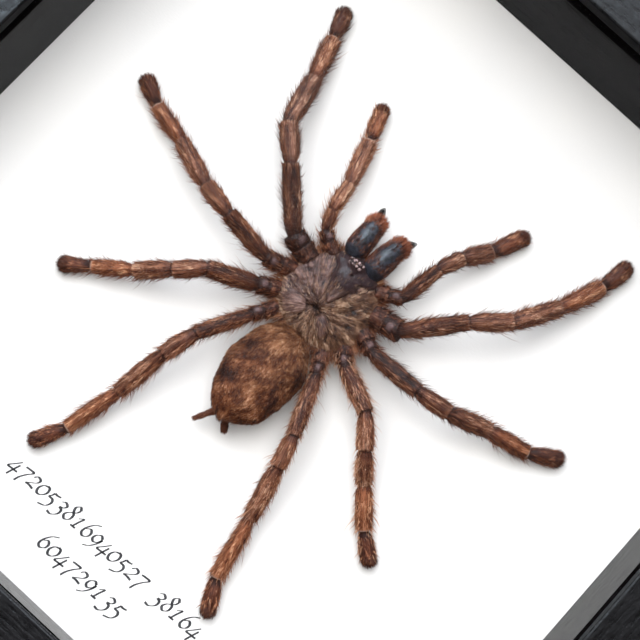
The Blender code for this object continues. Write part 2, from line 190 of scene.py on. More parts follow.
class Shader:
    """One node material, built a node at a time."""

    def __init__(self, name):
        self.material = bpy.data.materials.new(name)
        self.material.use_nodes = True
        self.tree = self.material.node_tree
        self.principled = self.tree.nodes["Principled BSDF"]

    def add(self, kind, inputs=None, **settings):
        node = self.tree.nodes.new("ShaderNode" + kind)
        for key, value in settings.items():
            setattr(node, key, value)
        for key, value in (inputs or {}).items():
            self.put(node.inputs[key], value)
        return node

    def put(self, socket, value):
        if isinstance(value, bpy.types.NodeSocket):
            self.tree.links.new(value, socket)
        else:
            socket.default_value = value

    def finish(self, **values):
        """Sets the main shader's sockets, with underscores for the spaces in their names."""
        for key, value in values.items():
            self.put(self.principled.inputs[key.replace("_", " ")], value)
        return self.material

    def stretched(self, scale=(1, 1, 1), source="Object"):
        """Coordinates of the surface in metres, or an attribute's, stretched by a scale."""
        if source == "Object":
            vector = self.add("TexCoord").outputs["Object"]
        else:
            vector = self.add("Attribute", attribute_name=source).outputs["Vector"]
        return self.add("Mapping", {"Vector": vector, "Scale": scale}).outputs["Vector"]

    def noise(self, vector, scale, detail=3.0, roughness=0.55):
        inputs = {"Vector": vector, "Scale": scale, "Detail": detail, "Roughness": roughness}
        return self.add("TexNoise", inputs).outputs["Fac"]

    def even_noise(self, scale, **settings):
        """Noise that isn't stretched along any axis."""
        return self.noise(self.stretched(), scale, **settings)

    def number(self, name):
        return self.add("Attribute", attribute_name=name).outputs["Fac"]

    def ramp(self, factor, stops):
        """A colour ramp from a list of (place, colour)."""
        node = self.add("ValToRGB", {"Fac": factor})
        elements = node.color_ramp.elements
        while len(elements) < len(stops):
            elements.new(0.5)
        for element, (where, colour) in zip(elements, stops):
            element.position = where
            element.color = (*colour, 1.0)
        return node.outputs["Color"]

    def levels(self, factor, low, high, to_low=0.0, to_high=1.0):
        """A factor's span from low to high, turned into another span."""
        inputs = {"Value": factor, "From Min": low, "From Max": high, "To Min": to_low,
                  "To Max": to_high}
        return self.add("MapRange", inputs).outputs["Result"]

    def mix(self, factor, first, second, kind="MIX"):
        node = self.add("Mix", data_type="RGBA", blend_type=kind)
        for index, value in ((0, factor), (6, first), (7, second)):
            self.put(node.inputs[index], value)
        return node.outputs[2]

    def math(self, operation, first, second):
        node = self.add("Math", operation=operation)
        self.put(node.inputs[0], first)
        self.put(node.inputs[1], second)
        return node.outputs["Value"]

    def bump(self, height, distance, strength=1.0):
        inputs = {"Height": height, "Distance": distance, "Strength": strength}
        return self.add("Bump", inputs).outputs["Normal"]


def black_wood(name, along, shine, smooth):
    """Satin black paint over fine wood grain that runs along an axis."""
    shader = Shader(name)
    scale = [900.0, 900.0, 900.0]
    scale["XYZ".index(along)] = 120.0
    grain = shader.noise(shader.stretched(scale), 1.0, detail=5.0, roughness=0.62)
    leather = shader.even_noise(420.0, detail=4.0, roughness=0.6)
    cloud = shader.even_noise(60.0, detail=2.0)
    mixed = shader.math("ADD", shader.math("MULTIPLY", grain, 0.6),
                        shader.math("MULTIPLY", leather, 0.4))
    specks = shader.levels(shader.even_noise(2600.0, detail=1.0), 0.68, 0.74)
    colour = shader.ramp(mixed, [(0.35, (0.0006, 0.0005, 0.0006)), (0.65, (0.006, 0.005, 0.0056))])
    colour = shader.mix(shader.levels(cloud, 0.4, 0.6, 0.0, 0.4), colour, (0.003, 0.0026, 0.0026, 1))
    colour = shader.mix(shader.math("MULTIPLY", specks, 0.25), colour, (0.12, 0.12, 0.13, 1))
    rough = shader.levels(mixed, 0.35, 0.65, smooth - 0.07, smooth + 0.07)
    rough = shader.math("MAXIMUM", rough, sight_edge(shader))
    return shader.finish(Base_Color=colour, Roughness=rough, Specular_IOR_Level=shine,
                         Normal=shader.bump(mixed, 0.00026))


def sight_edge(shader):
    """1 on the lip's narrow side round the window and over the pane, 0 elsewhere."""
    apart = shader.add("SeparateXYZ", {"Vector": shader.stretched()})
    across = [shader.math("ABSOLUTE", apart.outputs[axis], 0.0) for axis in "XY"]
    sight = -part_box("rail_bottom")[1].y + 0.15 * MM
    inside = shader.math("LESS_THAN", shader.math("MAXIMUM", *across), sight)
    over_pane = shader.math("GREATER_THAN", apart.outputs["Z"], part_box("glass_pane")[1].z)
    return shader.math("MULTIPLY", inside, over_pane)


def white_board():
    """Matt white card with faint fibres."""
    shader = Shader("white_board")
    fibre = shader.noise(shader.stretched((900, 2200, 900)), 1.0, detail=4.0)
    cloud = shader.even_noise(30.0)
    colour = shader.ramp(cloud, [(0.3, (0.865, 0.87, 0.875)), (0.7, (0.90, 0.90, 0.895))])
    return shader.finish(Base_Color=colour, Roughness=shader.levels(fibre, 0.3, 0.7, 0.82, 0.95),
                         Normal=shader.bump(fibre, 0.00004))


def clear_glass():
    """A thin coated pane: clear from the front, and more of a mirror the flatter it is seen."""
    shader = Shader("clear_glass")
    smear = shader.even_noise(22.0, detail=4.0)
    clear = shader.add("BsdfTransparent", {"Color": (0.994, 0.992, 0.989, 1)})
    mirror = shader.add("BsdfGlossy", {"Color": (0.95, 1.0, 0.99, 1),
                                       "Roughness": shader.levels(smear, 0.3, 0.8, 0.0, 0.07)})
    slant = shader.math("POWER", shader.add("LayerWeight", {"Blend": 0.5}).outputs["Facing"], 5.0)
    share = shader.math("POWER", shader.levels(slant, 0.0, 1.0, 0.04, 1.0), 1.9)
    both = shader.add("MixShader", {0: share, 1: clear.outputs["BSDF"], 2: mirror.outputs["BSDF"]})
    output = shader.tree.nodes["Material Output"]
    shader.tree.links.new(both.outputs["Shader"], output.inputs["Surface"])
    shader.tree.nodes.remove(shader.principled)
    return shader.material


def hardboard():
    shader = Shader("brown_hardboard")
    fibres = shader.noise(shader.stretched((700, 700, 700)), 1.0, detail=6.0, roughness=0.7)
    patches = shader.even_noise(35.0)
    colour = shader.ramp(fibres, [(0.3, (0.10, 0.05, 0.025)), (0.7, (0.27, 0.16, 0.085))])
    colour = shader.mix(shader.levels(patches, 0.4, 0.7), colour, (0.19, 0.11, 0.06, 1))
    return shader.finish(Base_Color=colour, Roughness=0.78, Normal=shader.bump(fibres, 0.0001))


def plated_steel():
    shader = Shader("plated_steel")
    brushed = shader.noise(shader.stretched((300, 9000, 300)), 1.0, detail=3.0)
    colour = shader.ramp(brushed, [(0.3, (0.46, 0.45, 0.42)), (0.7, (0.66, 0.65, 0.62))])
    return shader.finish(Base_Color=colour, Metallic=1.0, Normal=shader.bump(brushed, 0.00002),
                         Roughness=shader.levels(brushed, 0.3, 0.7, 0.24, 0.42))


def coat_colour(shader, tone, cool, warm):
    """The colour of a tone between a cool and a warm ramp, by how rusty the place is."""
    return shader.mix(shader.number("warm"), shader.ramp(tone, cool), shader.ramp(tone, warm))


def hair_material(name, cool, warm):
    """Hair whose colour follows its tone, from dark roots and clumps to light tips."""
    shader = Shader(name)
    fine = shader.even_noise(2500.0, detail=2.0)
    tone = shader.math("ADD", shader.number("tone"), shader.levels(fine, 0.3, 0.7, -0.14, 0.14))
    return shader.finish(Base_Color=coat_colour(shader, tone, cool, warm), Roughness=0.55,
                         Specular_IOR_Level=0.2)


def skin_material(name, cool, warm, bare_colour, rough):
    """Dry skin under the hair: streaks along the flow of the part, dark folds and bare patches."""
    shader = Shader(name)
    flow = shader.stretched((1.0, 1.0, 0.07), "flow")
    streaks = shader.noise(flow, 3.2, detail=4.0, roughness=0.6)
    fine = shader.even_noise(3500.0, detail=2.0)
    tone = shader.math("ADD", shader.number("tone"), shader.levels(streaks, 0.3, 0.7, -0.22, 0.22))
    colour = coat_colour(shader, tone, cool, warm)
    bare = shader.number("bare")
    worn = shader.even_noise(1400.0, detail=3.0)
    dark = [value * 0.45 for value in bare_colour]
    shell = shader.ramp(worn, [(0.35, dark), (0.65, bare_colour)])
    colour = shader.mix(bare, colour, shell)
    colour = shader.mix(shader.number("pale"), colour, (0.40, 0.27, 0.21, 1))
    height = shader.math("ADD", streaks, shader.math("MULTIPLY", fine, 0.4))
    roughness = shader.levels(bare, 0.0, 1.0, rough, 0.46)
    return shader.finish(Base_Color=colour, Roughness=roughness, Normal=shader.bump(height, 0.00012),
                         Specular_IOR_Level=0.2)


def ink():
    shader = Shader("grey_ink")
    worn = shader.even_noise(1500.0, detail=3.0)
    colour = shader.ramp(worn, [(0.3, (0.020, 0.018, 0.021)), (0.7, (0.045, 0.042, 0.046))])
    return shader.finish(Base_Color=colour, Roughness=0.7)


def glossy_chitin(name, dark, light, rough, scale=900.0):
    shader = Shader(name)
    cloud = shader.even_noise(scale, detail=4.0)
    colour = shader.ramp(cloud, [(0.4, dark), (0.6, light)])
    roughness = shader.levels(cloud, 0.3, 0.7, rough, rough + 0.14)
    return shader.finish(Base_Color=colour, Roughness=roughness, Normal=shader.bump(cloud, 0.00006))


# Meshes ------------------------------------------------------------------------------------------

# Odd numbers that scramble a cell's place and a seed into a random value.
HASH_PRIMES = (73856093, 19349663, 83492791)
HASH_SEED = 374761393
HASH_MIX = 1274126177


def noise(points, size, seed):
    """Smooth random values from 0 to 1 that vary over about size millimetres."""
    scaled = points / size + 1000.0
    cell = np.floor(scaled).astype(np.int64)
    blend = scaled - cell
    blend = blend * blend * (3 - 2 * blend)
    total = np.zeros(len(points))
    for corner in itertools.product((0, 1), repeat=3):
        mixed = np.bitwise_xor.reduce((cell + corner) * HASH_PRIMES, axis=1) ^ seed * HASH_SEED
        mixed = (mixed ^ mixed >> 13) * HASH_MIX
        mixed = (mixed ^ mixed >> 16) & 65535
        total += np.prod(np.where(corner, blend, 1 - blend), axis=1) * mixed / 65535
    return total


def unit(vectors):
    return vectors / np.maximum(np.linalg.norm(vectors, axis=-1, keepdims=True), 1e-9)


def square_to(vectors, axes):
    """Unit vectors that are the nearest to the vectors of those square to the axes."""
    return unit(vectors - axes * np.sum(vectors * axes, 1, keepdims=True))


def turned(angle):
    """The same angle, from -pi to pi."""
    return np.angle(np.exp(1j * angle))


def bell(offset, width, power=2):
    """1 at an offset of 0, falling to 0 over about twice the width."""
    return np.exp(-np.abs(offset / width) ** power)


def spot(x, y, centre_x, centre_y, half_x, half_y, power=2):
    """1 in the middle of an oval, falling to 0 round it."""
    return bell(np.hypot((x - centre_x) / half_x, (y - centre_y) / half_y), 1.0, power)


def soft_step(value, width):
    """0 for values well below 0, 1 for values well above."""
    return 1 / (1 + np.exp(-value / width))


def smoothed(column, window):
    """Numbers averaged over an odd window, with both ends kept."""
    half = window // 2
    before = 2 * column[0] - column[half:0:-1]
    after = 2 * column[-1] - column[-2:-half - 2:-1]
    kernel = np.hanning(window)
    return np.convolve(np.concatenate([before, column, after]), kernel / kernel.sum(), "valid")


def read(table, stops, at):
    """The rows of a table between its stops."""
    return np.stack([np.interp(at, stops, column) for column in table.T], 1)


def make_mesh(name, points, quads, material, triangles=(), **attributes):
    """A mesh object from arrays in millimetres, with numbers or vectors on its points."""
    mesh = bpy.data.meshes.new(name)
    mesh.vertices.add(len(points))
    mesh.vertices.foreach_set("co", place(points).astype(np.float32).ravel())
    corners = np.concatenate([np.ravel(quads), np.ravel(triangles)]).astype(np.int32)
    mesh.loops.add(len(corners))
    mesh.loops.foreach_set("vertex_index", corners)
    quad_starts = np.arange(len(quads)) * 4
    triangle_starts = len(quads) * 4 + np.arange(len(triangles)) * 3
    starts = np.concatenate([quad_starts, triangle_starts]).astype(np.int32)
    mesh.polygons.add(len(starts))
    mesh.polygons.foreach_set("loop_start", starts)
    mesh.update(calc_edges=True)
    mesh.validate()
    for key, values in attributes.items():
        kind, field = ("FLOAT", "value") if np.ndim(values) == 1 else ("FLOAT_VECTOR", "vector")
        layer = mesh.attributes.new(key, kind, "POINT")
        layer.data.foreach_set(field, np.asarray(values, np.float32).ravel())
    mesh.shade_smooth()
    mesh.materials.append(material)
    item = bpy.data.objects.new(name, mesh)
    bpy.context.scene.collection.objects.link(item)
    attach(item, "root")
    return item


def grid(around, along):
    """The u and v of a closed grid's points, ring by ring, both from 0 to 1."""
    v, u = np.meshgrid(np.linspace(0, 1, along), np.arange(around) / around, indexing="ij")
    return u.ravel(), v.ravel()


def grid_faces(around, along):
    """The quads between a closed grid's rings."""
    k = np.arange(around)
    following = (k + 1) % around
    ring = np.arange(along - 1)[:, None] * around
    corners = [ring + k, ring + following, ring + around + following, ring + around + k]
    return np.stack(corners, -1).reshape(-1, 4)


def add_skin(name, shape, around, along, marks, material, flow):
    """A closed surface from a shape function of u, round the part, and v, along it."""
    u, v = grid(around, along)
    rings = shape(u, v)
    points = np.concatenate([rings, [rings[:around].mean(0), rings[-around:].mean(0)]])
    k = np.arange(around)
    following = (k + 1) % around
    top = (along - 1) * around
    first_middle, last_middle = np.full(around, along * around), np.full(around, along * around + 1)
    caps = np.concatenate([np.stack([following, k, first_middle], 1),
                           np.stack([top + k, top + following, last_middle], 1)])
    attributes = {**marks(u, v, rings), "flow": flow(u, v)}
    for key, values in attributes.items():
        attributes[key] = np.concatenate([values, values[:1], values[-1:]])
    return make_mesh(name, points, grid_faces(around, along), material, caps, **attributes)


def surface_frame(shape, u, v):
    """Points, outward normals and directions along v of a shape function."""
    small = 0.002
    here = shape(u, v)
    along = unit(shape(u, np.minimum(v + small, 1)) - shape(u, np.maximum(v - small, 0)))
    across = unit(shape((u + small) % 1, v) - shape((u - small) % 1, v))
    return here, unit(np.cross(across, along)), along


def add_hair(name, roots, normals, flows, lengths, widths, leans, tones, warms, material, seed):
    """Tapered ribbons that leave the skin along its flow, lean away from it and bend back."""
    rng = np.random.default_rng(seed)
    count = len(roots)
    joints = 2
    across = unit(np.cross(normals, flows))
    flows = unit(flows + across * rng.normal(0, 0.12, count)[:, None])
    lean = leans[:, None]
    start = flows * np.cos(lean) + normals * np.sin(lean)
    side = unit(np.cross(start, normals))
    roll = rng.normal(0, 0.55, count)[:, None]
    side = side * np.cos(roll) + np.cross(side, start) * np.sin(roll)
    bend = normals * np.sin(lean) * BEND_BACK + across * rng.normal(0, 0.08, count)[:, None]
    rows = []
    for step in range(joints + 1):
        t = step / joints
        middle = roots - normals * ROOT_DEPTH + (start * t - bend * t * t) * lengths[:, None]
        middle[:, 2] = np.maximum(middle[:, 2], LEAST_HEIGHT)
        half = side * widths[:, None] / 2 * (1 - t) ** 0.6
        rows += [middle] if step == joints else [middle - half, middle + half]
    size = len(rows)
    base = np.arange(count)[:, None] * size
    quads = np.concatenate([base + [2 * i, 2 * i + 1, 2 * i + 3, 2 * i + 2]
                            for i in range(joints - 1)])
    triangles = base + [size - 3, size - 2, size - 1]
    reach = np.array([step / joints for step in range(joints) for _ in (0, 1)] + [1.0])
    tone = tones[:, None] + (reach - 0.35) * 0.18
    return make_mesh(name, np.stack(rows, 1).reshape(-1, 3), quads, material, triangles,
                     tone=tone.ravel(), warm=np.repeat(warms, size))


def hair_roots(part, u, v):
    """Places on a long part, its normals there, and the way that it heads."""
    roots, normals, _ = surface_frame(part.point, u, v)
    flows = part.heading(v)
    return roots, square_to(normals, flows), flows


def finish_part(skin, node, slot, *extras):
    """The skin stands for its CAD node, which is hidden."""
    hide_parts(node)


# Limbs -------------------------------------------------------------------------------------------

class Limb:
    """A jointed limb: its smooth centre line and its radius, by the distance from its base."""

    def __init__(self, node, joints, widths, shift):
        joints = np.array(joints, float)
        steps = np.linalg.norm(np.diff(joints, axis=0), axis=1)
        self.stops = np.concatenate([[0], np.cumsum(steps)])
        self.length = self.stops[-1]
        self.widths = np.array(widths)
        self.last = len(widths) - 1
        self.shift = shift
        self.lighter, self.rustier, self.striped, self.fringe = LIMB_LOOKS[node]
        self.knob = 0.45 * self.stops[1] + 0.55 * self.stops[2]
        self.at = np.arange(0, self.length, 0.1)
        line = read(joints, self.stops, self.at)
        self.line = np.stack([smoothed(column, 27) for column in line.T], 1)
        self.ahead = unit(np.gradient(self.line, axis=0))
        self.side = unit(np.cross([0, 0, 1], self.ahead))
        self.up = np.cross(self.ahead, self.side)

    def heading(self, v):
        return read(self.ahead, self.at, v * self.length)

    def segment(self, s):
        """The segment's index and how far along it a place is."""
        index = np.clip(np.searchsorted(self.stops, s, side="right") - 1, 0, self.last)
        start = self.stops[index]
        return index, np.clip((s - start) / (self.stops[index + 1] - start), 0, 1)

    def to_joint(self, s):
        """The distance past the nearest joint, negative before it."""
        past = s[:, None] - self.stops[None, 1:-1]
        nearest = np.argmin(np.abs(past), axis=1)
        return past[np.arange(len(s)), nearest]

    def off_top(self, angle):
        return turned(angle - np.pi / 2 - self.shift)

    def knob_mask(self, s, angle, size):
        """1 on the bare knob near the base, which stands on the limb's top."""
        return bell(s - self.knob, size, 4) * bell(self.off_top(angle) * 2.3, size, 4)

    def radius(self, s, angle):
        index, t = self.segment(s)
        profile = 0.80 + 0.20 * np.sin(np.pi * t ** 0.8) + 0.12 * t
        profile = np.where(index < 2, 1.22 - 0.1 * index, profile)
        foot = 0.60 + 0.54 * np.sin(np.pi * (0.08 + 0.71 * t))
        profile = np.where(index == self.last, foot, profile)
        past = self.to_joint(s)
        fold = 1 - 0.09 * bell(past, 0.2) - 0.07 * bell(past - 0.5, 0.45)
        rings = np.where(index < 2, 1 + 0.035 * np.sin(s * 5.2 + self.shift * 9), 1.0)
        ridges = 1 + 0.035 * np.cos(2 * angle + s * 0.17) + 0.03 * np.cos(5 * angle + self.shift * 30)
        size = self.widths[index] / 2 * 0.88 * profile * fold * rings * ridges
        knob = self.knob_mask(s, angle, 1.4) - 0.2 - 1.9 * self.knob_mask(s, angle, 0.85)
        size = size - 0.16 * self.stripes(s, angle) - 0.30 * knob
        beyond = np.clip((s - (self.length - 1.7)) / 1.7, 0, 1)
        return size * np.maximum((1 - beyond ** 3) ** 0.5, 0.02)

    def point(self, u, v):
        s = v * self.length
        angle = 2 * np.pi * u
        outward = (read(self.side, self.at, s) * np.cos(angle)[:, None]
                   + read(self.up, self.at, s) * np.sin(angle)[:, None])
        points = read(self.line, self.at, s) + outward * self.radius(s, angle)[:, None]
        lumps = 0.9 * noise(points, 2.6, 2) + 0.55 * noise(points, 1.0, 3) + 0.3 * noise(points, 0.4, 4)
        return points + outward * ((lumps - 0.875) * 0.42)[:, None]

    def stripes(self, s, angle):
        """Bare stripes along the back: one on the femur, two on the patella and the tibia."""
        index, t = self.segment(s)
        off_top = self.off_top(angle)
        single = bell(off_top, 0.42) * (index == 2)
        double = bell(np.abs(off_top) - 0.62, 0.16) * ((index == 3) | (index == 4))
        return (single + double) * np.clip(np.sin(np.pi * t) * 4, 0, 1) * self.striped

    def flow(self, u, v):
        """Coordinates in millimetres round and along the limb, without a seam."""
        radius = 2.3
        angle = 2 * np.pi * u
        return np.stack([np.cos(angle) * radius, np.sin(angle) * radius, v * self.length], 1)

    def tone(self, s, angle):
        """How light the coat is: darker folds, stripes, base and foot, lighter rims and back, with
        painted shade on the flanks and underside.
        """
        index, t = self.segment(s)
        foot = index == self.last
        tone = SEGMENT_TONES[np.where(foot, 6, index)] + self.lighter * (index > 1)
        past = self.to_joint(s)
        rims = 0.12 * bell(past + 0.75, 0.4) - 0.34 * bell(past, 0.28) - 0.16 * bell(past - 0.9, 0.7)
        back = bell(self.off_top(angle), 0.45) * ((index > 2) & (index < 6))
        foot_ends = foot * (0.22 * bell(t, 0.16) + 0.14 * bell(t - 1, 0.25))
        # Painted shade: darker away from the limb's top, as if lit from above, and heaviest on the coxa
        # and trochanter to shade the gaps between the leg bases.
        flank = np.where(index < 2, 0.24, 0.10) * (1 - np.cos(self.off_top(angle)))
        return tone + rims + 0.02 + 0.10 * back - 0.20 * self.stripes(s, angle) - foot_ends - flank

    def warmth(self, s, angle):
        """Greyer along the back of the middle segments, rustier on the flanks and the feet."""
        index, _ = self.segment(s)
        back = bell(self.off_top(angle), 0.8) * (index < 5)
        warm = 0.62 + 0.22 * (index == 5) + 0.1 * (index == self.last) - 0.42 * back
        return np.clip(warm + self.rustier, 0, 1)

    def marks(self, u, v, points):
        s = v * self.length
        angle = 2 * np.pi * u
        index, _ = self.segment(s)
        knob = self.knob_mask(s, angle, 0.9)
        # Painted shade: a dark ring in the groove round the bare knob.
        ring = np.clip(self.knob_mask(s, angle, 1.6) - knob, 0, 1)
        blotches = (noise(points, 0.9, 14) - 0.5) * 0.7 * (index < 2)
        return {"tone": self.tone(s, angle) - 0.16 - 0.6 * ring + blotches,
                "warm": self.warmth(s, angle),
                "bare": np.clip(knob * 1.3, 0, 1),
                "pale": bell(s - self.stops[self.last] + 0.32, 0.24, 4) * 0.8}


def coat(limb, rng, count):
    """Hairs that lie along the limb in streaks."""
    u = rng.random(count)
    v = rng.random(count) * 0.99
    s = v * limb.length
    angle = 2 * np.pi * u
    index, _ = limb.segment(s)
    scale = np.where(index < 2, 0.6, np.where(index == limb.last, 0.75, 1.15))
    lengths = scale * rng.uniform(0.9, 1.9, count)
    room = limb.stops[index + 1] - s - 0.6 * (index == limb.last - 1)
    stuck = (room < lengths) & (index < limb.last)
    lengths = np.where(stuck, np.maximum(room * 1.1, 0.25), lengths)
    leans = rng.normal(0.14, 0.06, count).clip(0.02, 0.4)
    widths = rng.uniform(0.13, 0.23, count)
    flow = limb.flow(u, v)
    clumps = noise(flow * [1, 1, 0.14], 0.34, 7) - 0.5
    broad = noise(flow * [1, 1, 0.35], 1.5, 8) - 0.5
    # The tones carry the limb's painted flank shade into the coat.
    tones = limb.tone(s, angle) - 0.02 + clumps * 0.8 + broad * 0.6 + rng.normal(0, 0.10, count)
    bare = np.clip(limb.stripes(s, angle) * 0.85 + limb.knob_mask(s, angle, 1.05) * 1.6, 0, 1)
    keep = rng.random(count) > bare
    keep &= (np.abs(limb.to_joint(s)) > 0.22) | (rng.random(count) < 0.2)
    keep &= (np.abs(s - limb.stops[limb.last] + 0.3) > 0.32) | (rng.random(count) < 0.25)
    return [values[keep] for values in (u, v, lengths, widths, leans, tones)]


def bristles(limb, rng, count):
    """Longer hairs that stand off the limb, mostly from its flanks."""
    side = rng.choice([0.0, 0.5], count)
    u = (side + rng.normal(0.0, 0.09, count)) % 1
    v = 0.02 + 0.96 * rng.random(count)
    index, _ = limb.segment(v * limb.length)
    patchy = noise(limb.flow(u, v), 3.0, 12)
    lengths = (rng.gamma(2.6, 0.52, count) + 0.6) * (0.5 + 1.0 * patchy)
    lengths = np.where(index == limb.last, lengths * 0.7, lengths)
    leans = rng.uniform(0.3, 1.0, count)
    widths = rng.uniform(0.11, 0.18, count)
    tones = rng.normal(0.34 + limb.fringe, 0.15, count)
    return [u, v, lengths, widths, leans, tones]


def tip_tuft(limb, rng, count):
    """Dark brushes at the end of the last segment."""
    u = rng.random(count)
    v = 1 - (rng.random(count) ** 1.3) * 2.4 / limb.length
    lengths = rng.uniform(0.6, 1.8, count)
    widths = rng.uniform(0.10, 0.18, count)
    leans = rng.uniform(0.1, 0.8, count)
    tones = rng.normal(0.10, 0.12, count)
    return [u, v, lengths, widths, leans, tones]


def build_limbs(skin_look, hair_look):
    for number, (node, (joints, widths)) in enumerate(LIMBS.items()):
        rng = np.random.default_rng(100 + number)
        limb = Limb(node, joints, widths, rng.uniform(-0.35, 0.35))
        skin = add_skin(node + "_skin", limb.point, LIMB_SIDES, int(limb.length / RING_STEP),
                        limb.marks, skin_look, limb.flow)
        sets = [coat(limb, rng, int(limb.length * COAT_PER_MM)),
                bristles(limb, rng, int(limb.length * BRISTLES_PER_MM)),
                tip_tuft(limb, rng, TUFT_HAIRS)]
        u, v, *sizes, tones = [np.concatenate(group) for group in zip(*sets)]
        warms = limb.warmth(v * limb.length, 2 * np.pi * u) + rng.normal(0, 0.15, len(u))
        hair = add_hair(node + "_hair", *hair_roots(limb, u, v), *sizes, tones, np.clip(warms, 0, 1),
                        hair_look, 300 + number)
        finish_part(skin, node, "hair", hair)


# Body --------------------------------------------------------------------------------------------

def carapace_point(u, v):
    """v runs from the middle of the underside, over the rim, to the top's middle."""
    angle = 2 * np.pi * u
    rim = CARAPACE_RIM_V
    below = v < rim
    share = np.where(below, np.sin(np.pi / 2 * v / rim), np.cos(np.pi / 2 * (v - rim) / (1 - rim)))
    share = np.clip(share, 0.02, 1)
    cosine = np.sign(np.cos(angle)) * np.abs(np.cos(angle)) ** 0.92 * (1 - 0.22 * np.sin(angle))
    x = CARAPACE_CENTRE[0] + CARAPACE_HALF_SIZE[0] * cosine * share
    y = CARAPACE_CENTRE[1] + CARAPACE_HALF_SIZE[1] * np.sin(angle) * share
    bulge = np.sqrt(np.clip(1 - share ** 2, 0, 1))
    top = CARAPACE_RIM + 3.6 * bulge + carapace_relief(x, y) * np.clip(bulge * 1.6, 0, 1)
    bottom = CARAPACE_RIM - 4.2 * bulge
    return np.stack([x, y, np.where(below, bottom, top)], 1)


def caput_mask(x, y):
    """1 on the raised head region, a wedge that opens from the pit to the front edge."""
    forward = np.clip((y - FOVEA[1] - 1.5) / 13.2, 0, 1)
    wander = noise(np.stack([x, y, x * 0], 1), 2.4, 15) - 0.5
    half = 0.5 + 6.3 * forward ** 1.6 + 2.0 * wander * np.clip(forward * 3, 0, 1)
    soft = np.where(x < 0.8, 0.75, 0.35)
    return soft_step(half - np.abs(x - 0.8), soft) * np.clip(forward * 7, 0, 1)


def pit_polar(x, y):
    """The distance and the direction from the pit."""
    dx, dy = x - FOVEA[0], y - FOVEA[1]
    return np.hypot(dx, dy), np.arctan2(dx, dy)


def spoke_relief(x, y, wander):
    """Grooves and fine folds that run out from the pit, between the swellings."""
    away, angle = pit_polar(x, y)
    head = caput_mask(x, y)
    offsets = [turned(angle - spoke + wander * 0.4) * np.maximum(away, 1.5) for spoke in SPOKES]
    grooves = -0.55 * sum(bell(offset, 0.8) for offset in offsets)
    grooves = grooves * np.clip(away / 2.5, 0, 1) * bell(away - 5.5, 5.0) * (1 - head)
    folds = 0.15 * np.sin(angle * 24 + wander * 15) * np.clip(away / 2, 0, 1) * np.exp(-away / 8)
    return (grooves + folds * (1 - 0.6 * head)) * (1 - lobes(x, y))


def carapace_relief(x, y):
    """Height in millimetres over the plain dome: head, pit, grooves, lobes, eye hill and grain."""
    away, _ = pit_polar(x, y)
    flat = np.stack([x, y, x * 0], 1)
    head = caput_mask(x, y)
    raised = 1.7 * spot(x, y, 0.4, 15.0, 5.0, 6.4) + 0.5 * head
    raised = raised + sum(lobe_swelling(x, y, *shape) for shape in LOBES)
    raised = raised + 1.3 * spot(x, y, *EYE_HILL, 2.5, 1.7, power=3.6)
    dx, dy = x - FOVEA[0], y - FOVEA[1]
    sunk = 2.0 * spot(dx, dy + 0.15 * dx * dx, 0, 0, 1.7, 0.8)
    sunk = sunk + 0.9 * spot(x, y, *HEAD_HOLE, 0.36, 0.36)
    sunk = sunk + 0.8 * bell(head - 0.5, 0.25) * np.clip(away / 3, 0, 1)
    spokes = spoke_relief(x, y, (noise(flat, 3.0, 8) - 0.5) * 0.9)
    grain = sum(height * (noise(flat, size, seed) - 0.5)
                for height, size, seed in ((0.9, 2.2, 4), (0.26, 0.9, 5), (0.16, 0.4, 6)))
    return raised - sunk + spokes + grain * (1 - 0.5 * head) * (1 - 0.7 * lobes(x, y))


def carapace_flow(u, v):
    """Coordinates round and away from the pit, in which streaks run along the spokes."""
    points = carapace_point(u, v)
    dx, dy = points[:, 0] - FOVEA[0], points[:, 1] - FOVEA[1]
    away = np.maximum(np.hypot(dx, dy), 0.3)
    return np.stack([dx / away * 5, dy / away * 5, away], 1)


def tan_mask(x, y):
    """1 on the hairy rear right half of the thorax."""
    return soft_step((x - 0.2) * 0.8 - (y - 3.5) * 0.5, 0.9) * (1 - caput_mask(x, y))


def lobe_distance(x, y, centre_x, centre_y, half_x, half_y, turn):
    """0 in the middle of a swelling and 1 on its outline."""
    dx, dy = x - centre_x, y - centre_y
    along = dx * np.cos(turn) + dy * np.sin(turn)
    across = dy * np.cos(turn) - dx * np.sin(turn)
    return np.hypot(along / half_x, across / half_y)


def lobe_swelling(x, y, *shape):
    """A swelling's height, with a fold on the side towards the pit."""
    distance = lobe_distance(x, y, *shape)
    inner = np.clip(1.2 - pit_polar(x, y)[0] / 4, 0, 1)
    return 1.2 * np.clip(1 - distance ** 2, 0, 1) ** 0.8 - 0.7 * inner * bell(distance - 1.05, 0.16)


def lobes(x, y):
    """1 on the swellings, 0 elsewhere."""
    return sum(soft_step(0.9 - lobe_distance(x, y, *shape), 0.09) for shape in LOBES)


def dark_spots(x, y):
    """1 on the muscle scars of the thorax."""
    return sum(spot(x, y, *scar) for scar in SCARS)


